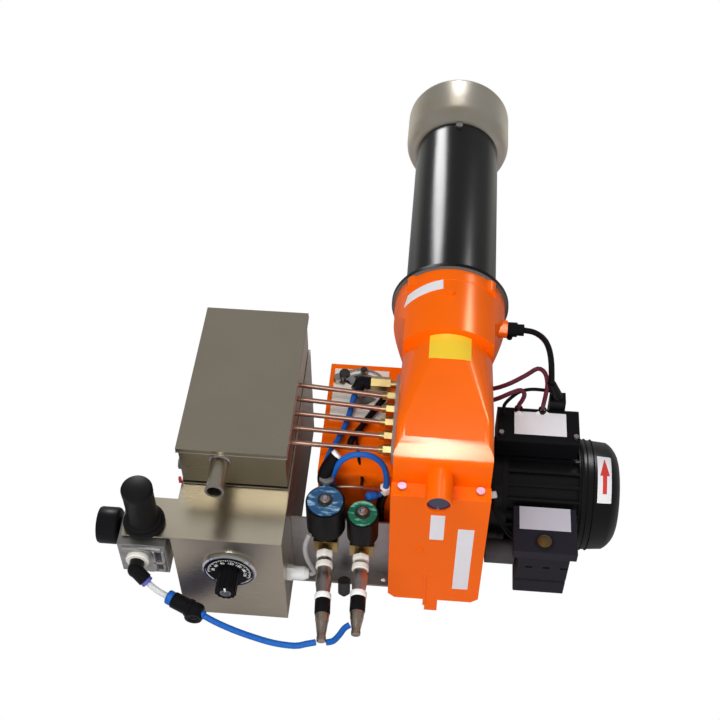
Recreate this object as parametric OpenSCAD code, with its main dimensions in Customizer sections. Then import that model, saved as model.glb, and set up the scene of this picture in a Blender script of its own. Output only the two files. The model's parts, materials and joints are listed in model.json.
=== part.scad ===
// Waste oil burner with an air-atomising gun, a side-mounted fan motor and a heated oil tank.
// The origin is the centre of the mounting flange's front face, +Y runs along the blast tube.

/* [Blast tube and head] */
// Outside diameter of the blast tube
tube_od = 95; // [90:1:100]
// Wall of the blast tube
tube_wall = 2; // [1.5:0.5:3]
// Length of the blast tube in front of the flange
tube_len = 246; // [200:1:320]
// Largest diameter of the stainless flame head
head_od = 120; // [112:1:130]
// Length of the flame head in front of the tube
head_len = 77; // [60:1:90]
// Length over which the flame head flares to its full diameter
shoulder_len = 20; // [15:1:26]
// Diameter of the opening at the front of the flame head
head_mouth = 86; // [70:1:92]
// Sheet thickness of the flame head and the diffuser
head_sheet = 1.5; // [1:0.25:2]

/* [Mounting flange] */
// Outside diameter of the mounting flange
flange_od = 122; // [120:1:130]
// Thickness of the mounting flange
flange_t = 4; // [3:0.5:6]
// Thickness of the flange gasket
gasket_t = 1.5; // [1:0.5:3]
// Pitch circle of the four flange holes
flange_pcd = 108; // [106:0.5:110]
// Diameter of the flange holes
flange_hole = 6.6; // [5.5:0.1:7]

/* [Housing] */
// Width of the cast housing
body_w = 90; // [86:1:96]
// Wall of the cast housing
wall = 4; // [3:0.5:5]
// Height of the housing's top face above the tube axis
top_z = 50; // [48:1:54]
// Distance of the housing's rear face behind the flange
rear_d = 234; // [225:1:245]
// Radius of the bend between the top and the rear face
bend_r = 18; // [14:1:24]
// Diameter of the round collar behind the flange
collar_od = 114; // [112:1:118]
// Distance of the collar's rear end behind the flange
collar_d = 87; // [84:1:92]
// Outside diameter of the sight tube
sight_od = 24.6; // [22:0.2:28]
// Length of the sight tube
sight_len = 33; // [20:1:40]
// Depth of the rear cover
cover_depth = 15; // [12:1:20]

/* [Fan and motor] */
// Distance of the fan axis behind the flange
fan_d = 144; // [140:1:150]
// Distance of the fan axis below the tube axis
fan_drop = 122; // [120:1:126]
// Diameter of the fan wheel
wheel_od = 108; // [100:1:112]
// Width of the fan wheel
wheel_w = 50; // [40:1:54]
// Number of blades on the fan wheel
blade_count = 28; // [20:1:36]
// Diameter of the fan's inlet in the left wall
inlet_d = 80; // [60:1:86]
// Diameter of the motor body over its fins
motor_od = 110; // [106:1:112]
// Length of the motor body
motor_len = 83; // [78:1:90]
// Number of fins round the motor body
fin_count = 24; // [16:2:30]
// Height of the motor fins
fin_h = 5; // [3:0.5:6]
// Diameter of the motor shaft
shaft_d = 12; // [10:1:14]
// Length of the fan cover
fan_cover_len = 47; // [40:1:55]

/* [Ignition and control] */
// Width of the ignition transformer
trafo_w = 82; // [70:1:86]
// Depth of the ignition transformer
trafo_depth = 43; // [36:1:46]
// Height of the transformer's top above the motor axis
trafo_top = 82; // [78:1:90]
// Width of the burner control's cap
control_w = 62; // [58:1:64]
// Depth of the burner control's cap
control_depth = 53; // [50:1:56]
// Height of the burner control with its base
control_h = 78; // [70:1:85]
// Diameter of the reset button
button_d = 14; // [10:0.5:18]
// Travel of the reset button
button_travel = 3; // [2:0.5:4]

/* [Air intake] */
// Width of the air intake box
intake_w = 76; // [72:1:80]
// Distance of the intake's far side behind the flange
intake_front_d = 48; // [44:1:54]
// Distance of the intake's top below the tube axis
intake_drop = 50; // [48:1:54]
// Wall of the air intake box
intake_wall = 3; // [2:0.5:4]
// Radius of the slot in the damper arm
slot_r = 24; // [22:0.5:26]

/* [Oil tank] */
// Width of the tank and the heater box
tank_w = 107; // [100:1:110]
// Length of the tank's lid
tank_len = 187; // [170:1:200]
// Height of the tank with its lid
tank_h = 53; // [50:1:56]
// Sheet thickness of the tank and the heater box
sheet = 1.5; // [1:0.25:2]
// Height of the heater box
box_h = 137; // [120:1:150]
// Length of the heater box
box_len = 250; // [240:1:260]
// Outside diameter of the overflow pipe
stub_od = 17.2; // [14:0.2:20]
// Length of the overflow pipe
stub_len = 33; // [25:1:40]
// Diameter of the thermostat's bezel
bezel_od = 53; // [48:1:56]

/* [Oil and air lines] */
// Diameter of the copper pipes
pipe_d = 5; // [4:0.5:6]
// Number of copper pipes
pipe_count = 5; // [3:1:5]
// Diameter of the air hoses
hose_d = 6; // [6:1:8]
// Diameter of the left valve's coil
coil_a_d = 38; // [34:1:40]
// Diameter of the right valve's coil
coil_b_d = 31; // [28:1:32]
// Travel of the valve plungers
plunger_travel = 3; // [2:0.5:4]
// Width of the pressure regulator's body
regulator_w = 46; // [40:1:48]
// Diameter of the pressure regulator's knob
regulator_knob_d = 29; // [26:1:32]

/* [Hidden] */
$fn = 64;

// Clearances that the pieces share
run = 0.05;
gap = 0.3;
cut = 1;

// Blast tube and head
tube_r = tube_od / 2;
tube_in = tube_r - tube_wall;
sleeve_r = tube_in - 0.1;
sleeve_len = 20;
head_r = head_od / 2;
head_round = 14;
head_y = tube_len + 0.4;
flange_r = flange_od / 2;
screw_y = tube_len - 6;

// Housing
half_w = body_w / 2;
rear_y = -rear_d;
collar_r = collar_od / 2;
collar_bore = collar_r - wall;
collar_y0 = -(flange_t + gasket_t);
collar_y1 = -collar_d;
ear_r = 7;
ear_len = 14;
flare_x = collar_r + 3;
flare_y0 = -29.5;
flare_y1 = -57;
body_y = -60;
arch_y = collar_y1 - 2;
crown_y = -190;
edge_r = 9;
sight_r = sight_od / 2;
sight_x = -2;
sight_z = 18;
glass_t = 2.5;
glass_seat = 5;
cover_y = rear_y - cover_depth;
cover_top = 3;
cover_bottom = -177;
cover_wall = 3;
cover_screw_x = 36;
cover_screw_y = rear_y - 5.5;

// Fan and motor
fan_y = -fan_d;
fan_z = -fan_drop;
wheel_r = wheel_od / 2;
scroll_front = wheel_r + 6;
scroll_rear = rear_d - wall - fan_d;
motor_open_r = wheel_r + 3;
motor_r = motor_od / 2;
motor_x0 = half_w + 17;
motor_x1 = motor_x0 + motor_len;
motor_core = motor_r - fin_h;
stator_r = motor_core - 4;
shaft_r = shaft_d / 2;
bearing_r = shaft_r + 10;
bearing_w = 8;
adapter_t = 4;
shield_t = 6;
fan_cover_r = motor_r + 2.2;
fan_cover_x0 = motor_x1 - 4;
fan_cover_x1 = fan_cover_x0 + fan_cover_len;

// Ignition and control
trafo_x0 = half_w + 9;
trafo_y0 = -142;
trafo_z = fan_z + trafo_top;
control_x0 = 74;
control_y0 = -244;
control_z = -83;
cap_t = 12;
base_inset = 6;
button_x = control_x0 + control_w / 2 - 1;
button_y = control_y0 + 12;
button_r = button_d / 2;
socket_y = trafo_y0 + trafo_depth - 5;
socket_a = [99, socket_y];
socket_b = [75, socket_y];
relief_x = 114;
relief_y = trafo_y0 + trafo_depth + 5;
capacitor_r = 12.3;
capacitor_y = -214.5;
capacitor_z = -131;
photocell_y = -40;
photocell_z = 10.5;

// Air intake
intake_x0 = -half_w - intake_w;
intake_y1 = -intake_front_d;
intake_top = -intake_drop;
intake_bottom = -168;
plate_t = 2;
plate_inset = 5;
plate_len = 69;
pivot = [-87, -84];
shutter_r = 22;
arm_z = intake_top + plate_t + 0.3;
arm_t = 1.5;
lock_angle = 87;
thumb_angle = 157;

// Oil tank
tank_x1 = -147;
tank_x0 = tank_x1 - tank_w;
tank_y0 = -208;
tank_y1 = tank_y0 + tank_len;
lid_top = -3;
lid_skirt = 6;
tank_bottom = lid_top - tank_h;
seam_h = 4;
box_top = tank_bottom - seam_h;
box_bottom = box_top - box_h;
box_y0 = tank_y1 - box_len;
stub_x = -212.5;
stub_z = -22;
stub_r = stub_od / 2;
dial = [-200, -107];
bezel_r = bezel_od / 2;
skirt_r = bezel_r - 4.8;
knob_r = 10.5;
float_pivot = [-166, -31];
float_r = 11;
gland = [box_y0 + 17, -135];
gland_r = 7;

// Oil and air lines
pipe_r = pipe_d / 2;
bar_y = -80.5;
line_z = -32;
bar_x0 = -half_w - 5;
nut_len = 13;
nut_r = 6;
first_right = -103;
pitch_right = 17.1;
first_left = -96;
pitch_left = 18.6;
line_y = -87;
valve_a = [-109.5, -226];
valve_b = [-73.3, -228];
cap_a_z = -46;
cap_b_z = -60;
coil_a_h = 40;
coil_b_h = 34;
port_z = -108;
block = 24;
stem_r = 5;
bore_r = 3.6;
plate_y = -213.7;
lean_a = 3.7;
lean_b = 1.2;
reach_a = 99;
reach_b = 84;
inlet_y = -199;
frame_t = 2;
reg = [-281, box_y0 + 15];
reg_front = reg[1] - regulator_w / 2;
reg_body_z0 = -128;
reg_neck_r = 15;
gauge = [reg[1] + 6, -78];
gauge_r = 18;
gauge_t = 21;

// Routes of the hoses and leads
clear_route = [[-275.4, -299.6, -93.3], [-269, -303.5, -96.8], [-261, -307.6, -99.2], [-250.3, -311.9, -100.9]];
front_route = [
    [-219, -324, -106], [-206, -329, -109], [-188, -334, -113], [-168, -338, -117], [-148, -341, -120],
    [-128, -343, -118.5], [-117, -342, -115], [-108.3, -340.5, -113.3]
];
link_route = [[-98.1, -340, -113], [-92, -337, -114.5], [-87, -330, -115.2], [-83, -323, -114.8], [-78, -319.5, -113.5]];
rear_route_a = [
    [-90.5, -95.5, -35.5], [-93, -103, -39], [-95, -118, -42], [-98, -135, -42], [-103, -153, -41],
    [-109, -170, -40], [-113, -185, -42], [-114.5, -194, -49], [-114.5, -198.5, -62], [-114.5, -199, -77],
    [-114.5, -199, -91.7]
];
rear_route_b = [
    [-104.5, -199, -91.7], [-105.5, -199, -72], [-105.5, -198, -50], [-101, -196, -31], [-92, -194, -18],
    [-80, -193, -13], [-67, -193, -15], [-56.5, -194, -26], [-52.5, -196, -44], [-54, -198, -66],
    [-57.5, -199, -82], [-58.5, -199, -91.7]
];
photo_route = [
    [76, -40, 10.5], [87, -41, 11.5], [97, -46, 13], [104, -55, 15], [108.5, -63.5, 16.5], [110.5, -70, 17],
    [112.3, -78.2, 15.6], [113.5, -85.4, 11.4], [114, -90.8, 5], [114, -93.5, -2], [114, -93.9, -5.4]
];
lead_a_route = [
    [45, -92, -24], [54, -92, -20], [66, -90, -14], [80, -84, -8], [91, -78, -4], [98, -84, -3],
    [101, -93, -9], [100, -101, -18], [99, -104, -29], [99, -104, -38]
];
lead_b_route = [
    [45, -104, -28], [54, -103, -24], [66, -100, -18], [75, -97.5, -16], [79, -100.5, -18.5], [77.5, -103.2, -24.5],
    [75, -104, -31], [75, -104, -38]
];
loop_route = [
    [60, -110, -39], [60, -106, -31], [66, -101, -25], [75, -96, -20], [86, -93, -19], [97, -92.5, -19.5],
    [108.1, -93.5, -19.5]
];
motor_route = [
    [52.6, -137.6, -58], [50.4, -141, -57], [49.5, -150, -56], [49.5, -168, -57], [50, -184, -60],
    [51, -196, -65], [55, -206, -74], [63, -213, -86], [71, -217, -97], [79.7, -219, -103]
];
heater_route = [
    [-125, -254, -135], [-121, -254.2, -133.5], [-119.6, -254.5, -128], [-122.5, -255, -117], [-126.5, -254, -104],
    [-128, -250, -94], [-126.5, -246, -87], [-124, -242.6, -81]
];

// Helpers
module along_y() rotate([-90, 0, 0]) children();
module along_x() rotate([0, 90, 0]) children();
module at_fan() translate([0, fan_y, fan_z]) children();
module tube_y(r, y0, y1) translate([0, y0, 0]) along_y() cylinder(r = r, h = y1 - y0);
module tube_x(r, x0, x1) translate([x0, 0, 0]) along_x() cylinder(r = r, h = x1 - x0);
module box(low, high) translate(low) cube(high - low);
module hex(r, h) cylinder(r = r, h = h, $fn = 6);
module ring(outer, inner, h) difference() {
    cylinder(r = outer, h = h);
    translate([0, 0, -cut]) cylinder(r = inner, h = h + 2 * cut);
}
module rod(a, b, r) {
    d = b - a;
    translate(a) rotate([0, acos(d[2] / norm(d)), atan2(d[1], d[0])]) cylinder(r = r, h = norm(d));
}

function unit(v) = v / norm(v);
function last(p) = len(p) - 1;
function tangents(p) = [for (i = [0:last(p)]) unit(p[min(i + 1, last(p))] - p[max(i - 1, 0)])];
function carried(t, n, i = 0) =
    i > last(t) ? [] : let (m = unit(n - (n * t[i]) * t[i])) concat([m], carried(t, m, i + 1));
function side_of(t) = abs(t[2]) < 0.8 ? [0, 0, 1] : [1, 0, 0];

// A round hose or lead swept along its route
module swept(route, d, sides = 8) {
    t = tangents(route);
    n = carried(t, side_of(t[0]));
    points = [
        for (i = [0:last(route)], k = [0:sides - 1])
            route[i] + d / 2 * (cos(360 * k / sides) * n[i] + sin(360 * k / sides) * cross(t[i], n[i]))
    ];
    skin = [
        for (i = [0:last(route) - 1], k = [0:sides - 1])
            let (a = i * sides + k, b = i * sides + (k + 1) % sides) [a, a + sides, b + sides, b]
    ];
    start = [for (k = [0:sides - 1]) k];
    end = [for (k = [sides - 1:-1:0]) last(route) * sides + k];
    polyhedron(points = points, faces = concat(skin, [start, end]));
}

// Side outline of the housing: the scroll round the fan, the bend and the flat top
function scroll_r(a) = scroll_front + (scroll_rear - scroll_front) * (-a / 180);
function side_outline(off) = concat(
    [[-34 + off, -collar_bore - off + 6], [-46 + off, -collar_bore - 10 - off]],
    [for (a = [0:-15:-180])
        [fan_y + (scroll_r(a) + off) * cos(a), fan_z + (scroll_r(a) + off) * sin(a)]],
    [for (b = [180:-15:90])
        [rear_y + bend_r + (bend_r - wall + off) * cos(b), top_z - bend_r + (bend_r - wall + off) * sin(b)]],
    [[body_y - wall + off, top_z - wall + off], [body_y - wall + off, 20]]
);
module side_shape(off, half) translate([-half, 0, 0])
    rotate([90, 0, 90]) linear_extrude(2 * half) polygon(side_outline(off));

// Section of the body seen along the tube, with its two upper edges rounded
module section(y, r, off, t) translate([0, y, 0]) along_y() linear_extrude(t) {
    for (s = [-1, 1]) translate([s * (half_w - r), r - top_z]) circle(r = r - off, $fn = 48);
    translate([off - half_w, r - top_z]) square([body_w - 2 * off, 300]);
    if (r < half_w) translate([r - half_w, off - top_z]) square([2 * (half_w - r), r]);
}

// The body's top is an arch behind the collar and goes over into a flat top with round edges
module front_shape(off) {
    section(arch_y, half_w, off, -arch_y);
    hull() {
        section(arch_y, half_w, off, cut);
        section(crown_y - cut, edge_r, off, cut);
    }
    section(rear_y - cut, edge_r, off, crown_y - rear_y + cut);
}

// Plan of the round collar, whose sides run in to the width of the body
module collar_plan(off) translate([0, 0, -collar_od]) linear_extrude(2 * collar_od) polygon([
    [off - flare_x, cut], [flare_x - off, cut], [flare_x - off, flare_y0], [half_w - off, flare_y1],
    [half_w - off, collar_y1 + off], [off - half_w, collar_y1 + off], [off - half_w, flare_y1],
    [off - flare_x, flare_y0]
]);

module housing_solid() {
    intersection() {
        union() {
            side_shape(wall, half_w);
            box([-half_w, rear_y, cover_bottom + cover_wall], [half_w, rear_y + 84, fan_z]);
        }
        front_shape(0);
    }
    intersection() {
        tube_y(collar_r, collar_y1, collar_y0 - ear_len);
        collar_plan(0);
    }
    translate([sight_x, 0, sight_z]) tube_y(sight_r, rear_y - sight_len, rear_y + wall);
    translate([-1.2, -39.3, collar_r - 3.5]) cylinder(r = 4, h = 6.5);
    translate([0, photocell_y, photocell_z]) tube_x(9, half_w, collar_r + 2);
    for (s = [-1, 1]) box(
        [s * cover_screw_x - 5, rear_y - cover_depth + cover_wall + gap, -12],
        [s * cover_screw_x + 5, rear_y, cover_top - cover_wall - gap]
    );
}

module housing() color("orangered") difference() {
    union() {
        difference() {
            housing_solid();
            intersection() {
                side_shape(0, half_w - wall);
                front_shape(wall);
            }
            intersection() {
                tube_y(collar_bore, collar_y1 + wall, collar_y0 + cut);
                collar_plan(wall);
            }
        }
        translate([0, collar_y0 - ear_len, 0]) along_y() linear_extrude(ear_len) union() {
            difference() {
                circle(r = collar_r + 0.5);
                circle(r = collar_bore - 0.5);
            }
            for (a = [45:90:315]) rotate(a) translate([flange_pcd / 2, 0]) circle(r = ear_r);
        }
    }
    for (a = [45:90:315]) rotate([0, a, 0]) translate([flange_pcd / 2, collar_y0 - 12, 0])
        along_y() cylinder(r = 2.6, h = 12 + cut);
    translate([sight_x, 0, sight_z]) {
        tube_y(sight_r - 3.4, rear_y - sight_len - cut, rear_y + wall + cut);
        tube_y(sight_r - 1.5, rear_y - sight_len - cut, rear_y - sight_len + glass_seat);
    }
    at_fan() tube_x(motor_open_r, half_w - wall - cut, half_w + cut);
    at_fan() tube_x(inlet_d / 2, -half_w - cut, -half_w + wall + cut);
    translate([0, photocell_y, photocell_z]) tube_x(6, collar_bore - 6, collar_r + 3);
    box([-30, rear_y - cut, -160], [30, rear_y + wall + cut, -16]);
    for (s = [-1, 1]) translate([s * cover_screw_x, cover_screw_y, -8]) cylinder(r = 2 + run, h = 20);
    for (p = [lead_a_route[0], lead_b_route[0]])
        translate([0, p[1], p[2]]) tube_x(2.6, half_w - wall - cut, half_w + cut);
}

module rear_cover() color("orangered") difference() {
    c = 7;
    union() {
        translate([0, rear_y, 0]) rotate([90, 0, 0]) linear_extrude(cover_depth) polygon([
            [-half_w - 1, cover_top], [half_w + 1, cover_top], [half_w + 1, cover_bottom + c],
            [half_w + 1 - c, cover_bottom], [-half_w - 1 + c, cover_bottom], [-half_w - 1, cover_bottom + c]
        ]);
        box([-8, cover_y, cover_bottom - 21], [5, cover_y + 5, cover_bottom + 2]);
        box([-10, cover_y - 1.2, cover_bottom - 10], [-7.5, cover_y + 1, cover_bottom + 50]);
        translate([-15.9, 0, -85.2]) tube_y(3.5, cover_y - 1.2, cover_y + 1);
    }
    box(
        [-half_w - 1 + cover_wall, cover_y + cover_wall, cover_bottom + cover_wall],
        [half_w + 1 - cover_wall, rear_y + cut, cover_top - cover_wall]
    );
    for (s = [-1, 1]) translate([s * cover_screw_x, cover_screw_y, -cut]) cylinder(r = 2.3, h = 10);
}

module screw_down(p, r, shank) translate(p) {
    cylinder(r = 2 * r, h = 1.6 * r);
    translate([0, 0, -shank]) cylinder(r = r, h = shank + cut);
}

module fixing_screws() color("silver") {
    for (s = [-1, 1]) screw_down([s * cover_screw_x, cover_screw_y, cover_top], 2, 9);
    for (a = [0:120:240]) rotate([0, a, 0]) screw_down([0, screw_y, tube_r], 2, 2 * tube_wall + 2);
    for (x = [-1, 1]) screw_down([trafo_x0 + trafo_w / 2 + x * 37, trafo_y0 + 7, trafo_z], 2, 8);
    screw_down([pivot[0] + slot_r * cos(lock_angle), pivot[1] + slot_r * sin(lock_angle), arm_z + arm_t + 0.3], 2, 3.5);
}

module sight_glass() color("midnightblue") translate([sight_x, 0, sight_z])
    tube_y(sight_r - 1.5 - run, rear_y - sight_len + glass_seat - glass_t, rear_y - sight_len + glass_seat);

module flange_ring(outer, inner, y0, t, hole) difference() {
    tube_y(outer, y0, y0 + t);
    tube_y(inner, y0 - cut, y0 + t + cut);
    for (a = [45:90:315]) rotate([0, a, 0]) translate([flange_pcd / 2, y0 - cut, 0])
        along_y() cylinder(d = hole, h = t + 2 * cut);
}
module tube_flange() color("black") flange_ring(flange_r, tube_r + run, -flange_t, flange_t, flange_hole);
module flange_gasket() color("dimgray")
    flange_ring(flange_r - 0.5, tube_r + 1, -flange_t - gasket_t, gasket_t, flange_hole + 1);

module blast_tube() color("black") difference() {
    tube_y(tube_r, -flange_t, tube_len);
    tube_y(tube_in, -flange_t - cut, tube_len + cut);
    for (a = [0:120:240]) rotate([0, a, 0]) translate([0, screw_y, tube_in - cut]) cylinder(r = 2 + run, h = 6);
}

// Half outline of the spun head, one sheet thick
function head_outline(t) = concat(
    [[sleeve_r - t, tube_len - sleeve_len], [sleeve_r - t, head_y + t]],
    [for (a = [15:15:90]) [
        sleeve_r + (head_r - sleeve_r - t) * sin(a),
        head_y + shoulder_len * (1 - cos(a)) + t * cos(a)
    ]],
    [for (a = [0:15:90]) [
        head_r - head_round + (head_round - t) * cos(a),
        tube_len + head_len - head_round + (head_round - t) * sin(a)
    ]],
    [[head_mouth / 2, tube_len + head_len - t]]
);
function reversed(p) = [for (i = [last(p):-1:0]) p[i]];
module flame_head() color("tan") difference() {
    along_y() rotate_extrude($fn = 96)
        polygon(concat(head_outline(0), reversed(head_outline(head_sheet))));
    for (a = [0:120:240]) rotate([0, a, 0]) translate([0, screw_y, tube_in - 6]) cylinder(r = 2 + run, h = 8);
}

diffuser_y = tube_len - 14;
gun_r = 13;
module diffuser() color("silver") difference() {
    union() {
        tube_y(sleeve_r - head_sheet - run, diffuser_y, diffuser_y + head_sheet);
        tube_y(14.5, diffuser_y - 8, diffuser_y + head_sheet);
    }
    tube_y(gun_r + run, diffuser_y - 8 - cut, diffuser_y - 1);
    tube_y(10, diffuser_y - 2, diffuser_y + 4);
    for (a = [0:45:315]) rotate([0, a, 0])
        box([19, diffuser_y - cut, -1.5], [38, diffuser_y + head_sheet + cut, 1.5]);
    for (s = [-1, 1]) translate([s * 8, 0, 25]) tube_y(4.5, diffuser_y - cut, diffuser_y + 3);
}

// The gun: two tubes along the axis, their elbows to the left wall, the spider and the nozzle block
module nozzle_gun() color("darkkhaki") difference() {
    union() {
        for (s = [-1, 1]) {
            translate([0, 0, 7 * s]) tube_y(4, -120, diffuser_y - 22);
            translate([0, -120, 7 * s]) tube_x(4, -half_w + wall + 0.2, 4);
        }
        tube_y(gun_r, diffuser_y - 30, diffuser_y - 1.5);
        for (a = [30:120:270]) rotate([0, a, 0]) box([6, 60, -1.5], [tube_in - 1.3, 68, 1.5]);
        difference() {
            tube_y(tube_in - run, 60, 68);
            tube_y(tube_in - 1.5, 60 - cut, 68 + cut);
        }
        tube_y(14, 60, 68);
    }
    tube_y(5.5, diffuser_y - 14, diffuser_y);
    for (s = [-1, 1]) translate([0, 0, 7 * s]) tube_y(2.8, -121, diffuser_y - 24);
}

module nozzle() color("goldenrod") difference() {
    union() {
        tube_y(5.5 - run, diffuser_y - 13.5, diffuser_y - 1);
        translate([0, diffuser_y - 1.2, 0]) along_y() hex(8.6, 9);
        translate([0, diffuser_y + 7.8, 0]) along_y() cylinder(r1 = 7, r2 = 3.4, h = 4);
    }
    tube_y(0.9, diffuser_y - 14, diffuser_y + 13);
}

module electrode_rods() color("silver") for (s = [-1, 1]) {
    rod([s * 8, diffuser_y - 66, 25], [s * 8, diffuser_y + 8, 25], 1.25);
    rod([s * 8, diffuser_y + 8, 25], [s * 2.2, diffuser_y + 20, 11], 1.25);
}
module electrode_insulators() color("white") for (s = [-1, 1]) difference() {
    translate([s * 8, 0, 25]) {
        tube_y(4.2, diffuser_y - 55, diffuser_y + 5);
        tube_y(5.6, diffuser_y - 20, diffuser_y - 12);
    }
    translate([s * 8, 0, 25]) tube_y(1.25 + run, diffuser_y - 56, diffuser_y + 6);
}

// One forward-curved blade of the fan wheel
module blade(inner, outer, t) {
    steps = 4;
    lean = 24;
    function at(u, off) = let (r = inner + (outer - inner) * u, a = lean * u * u)
        [r * cos(a) + off * sin(a), r * sin(a) - off * cos(a)];
    polygon(concat(
        [for (i = [0:steps]) at(i / steps, -t / 2)], [for (i = [steps:-1:0]) at(i / steps, t / 2)]
    ));
}
wheel_x1 = half_w - wall - 7;
wheel_x0 = wheel_x1 - wheel_w;
module impeller() color("gray") at_fan() difference() {
    union() {
        tube_x(wheel_r, wheel_x1 - 2, wheel_x1);
        difference() {
            tube_x(wheel_r, wheel_x0, wheel_x0 + 2);
            tube_x(wheel_r - 11, wheel_x0 - cut, wheel_x0 + 3);
        }
        tube_x(13, wheel_x1 - 24, wheel_x1 + 1);
        translate([wheel_x0 + 1, 0, 0]) rotate([90, 0, 90]) linear_extrude(wheel_w - 2)
            for (k = [0:blade_count - 1]) rotate(-360 * k / blade_count) mirror([1, 0])
                blade(wheel_r - 11, wheel_r - 0.5, 1);
    }
    tube_x(shaft_r + 0.02, wheel_x1 - 30, wheel_x1 + 5);
}

module motor_adapter() color("black") at_fan() difference() {
    union() {
        tube_x(motor_open_r + 5, half_w, half_w + adapter_t);
        box([half_w + 8, -48, 30], [motor_x0, -34, 54]);
        tube_x(motor_open_r - run, half_w - wall, half_w + 1);
        tube_x(motor_r - 1, half_w, motor_x0);
        tube_x(bearing_r + 4, half_w - wall, motor_x0 + 7);
    }
    difference() {
        tube_x(motor_r - 5, half_w - 1, motor_x0 - shield_t + 1);
        tube_x(bearing_r + 4, half_w - 2, motor_x0);
    }
    tube_x(shaft_r + 1, half_w - wall - cut, motor_x0 + 8);
    tube_x(bearing_r + 0.02, motor_x0 + 7 - bearing_w, motor_x0 + 8);
}

module motor_shell() color("black") at_fan() difference() {
    union() {
        tube_x(motor_core, motor_x0, motor_x1);
        for (k = [0:fin_count - 1]) rotate([360 * k / fin_count, 0, 0])
            box([motor_x0, -1.3, motor_core - 1], [motor_x1, 1.3, motor_r]);
        tube_x(motor_r, motor_x0, motor_x0 + 6);
        tube_x(motor_r, motor_x1 - 6, motor_x1);
    }
    tube_x(stator_r, motor_x0 - cut, motor_x1 - shield_t);
    tube_x(bearing_r + 0.02, motor_x1 - shield_t - cut, motor_x1 - 1);
    tube_x(shaft_r + 1, motor_x1 - 8, motor_x1 + cut);
}

rotor_x0 = motor_x0 + 22;
rotor_x1 = motor_x1 - 22;
module stator() color("peru") at_fan() {
    difference() {
        tube_x(stator_r - run, rotor_x0, rotor_x1);
        tube_x(stator_r - 16, rotor_x0 - cut, rotor_x1 + cut);
    }
    for (x = [rotor_x0 - 8, rotor_x1]) difference() {
        tube_x(stator_r - 3, x, x + 8);
        tube_x(stator_r - 14, x - cut, x + 9);
    }
}
module rotor() color("silver") at_fan() {
    tube_x(shaft_r, wheel_x1 - 26, motor_x1 + 24);
    tube_x(stator_r - 16.4, rotor_x0, rotor_x1);
}
module motor_bearings() color("silver") at_fan() for (x = [motor_x0 + 7 - bearing_w, motor_x1 - shield_t - 3])
    difference() {
        tube_x(bearing_r, x, x + bearing_w);
        tube_x(shaft_r + run, x - cut, x + bearing_w + cut);
    }

cool_x0 = motor_x1 + 6;
module cooling_fan() color("dimgray") at_fan() difference() {
    union() {
        tube_x(13, cool_x0, cool_x0 + 16);
        tube_x(motor_r - 8, cool_x0, cool_x0 + 2);
        for (k = [0:6]) rotate([360 * k / 7, 0, 0]) box([cool_x0, -1, 10], [cool_x0 + 16, 1, motor_r - 8]);
    }
    tube_x(shaft_r + 0.02, cool_x0 - cut, cool_x0 + 20);
}

// Fan cover: a domed cup with a ring of slots in its end
module fan_cover() color("black") at_fan() difference() {
    round_r = 14;
    t = 1.6;
    rotate([0, 90, 0]) rotate_extrude($fn = 96) polygon(concat(
        [[fan_cover_r, fan_cover_x0]],
        [for (a = [0:15:90]) [
            fan_cover_r - round_r + round_r * cos(a), fan_cover_x1 - round_r + round_r * sin(a)
        ]],
        [[0, fan_cover_x1], [0, fan_cover_x1 - t]],
        [for (a = [90:-15:0]) [
            fan_cover_r - round_r + (round_r - t) * cos(a), fan_cover_x1 - round_r + (round_r - t) * sin(a)
        ]],
        [[fan_cover_r - t, fan_cover_x0]]
    ));
    for (k = [0:15]) rotate([22.5 * k, 0, 0]) box([fan_cover_x1 - 3, -2.2, 12], [fan_cover_x1 + cut, 2.2, 38]);
}

module ignition_transformer() color("black") difference() {
    x1 = trafo_x0 + trafo_w;
    y1 = trafo_y0 + trafo_depth;
    union() {
        intersection() {
            box([trafo_x0, trafo_y0, fan_z + 45], [x1, y1, trafo_z]);
            translate([trafo_x0 - cut, 0, 0]) rotate([90, 0, 90]) linear_extrude(trafo_w + 2 * cut) polygon([
                [trafo_y0 - cut, -100], [y1 + cut, -100], [y1 + cut, trafo_z - 3], [y1 - 3, trafo_z + 0.1],
                [trafo_y0 + 3, trafo_z + 0.1], [trafo_y0 - cut, trafo_z - 4]
            ]);
        }
        for (p = [socket_a, socket_b]) translate([p[0], p[1], trafo_z - 1]) cylinder(r = 4.2, h = 5);
        translate([relief_x, relief_y, trafo_z - 1]) {
            translate([-8, -7, -26]) cube([16, 13, 40]);
            translate([0, 0, 13]) cylinder(r1 = 6, r2 = 4.4, h = 22);
        }
    }
    at_fan() tube_x(motor_r + gap, trafo_x0 - cut, x1 + cut);
    for (p = [socket_a, socket_b]) translate([p[0], p[1], trafo_z]) cylinder(r = 2.4, h = 6);
    for (x = [-1, 1]) translate([trafo_x0 + trafo_w / 2 + x * 37, trafo_y0 + 7, trafo_z - 9])
        cylinder(r = 2 + run, h = 12);
}

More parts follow.
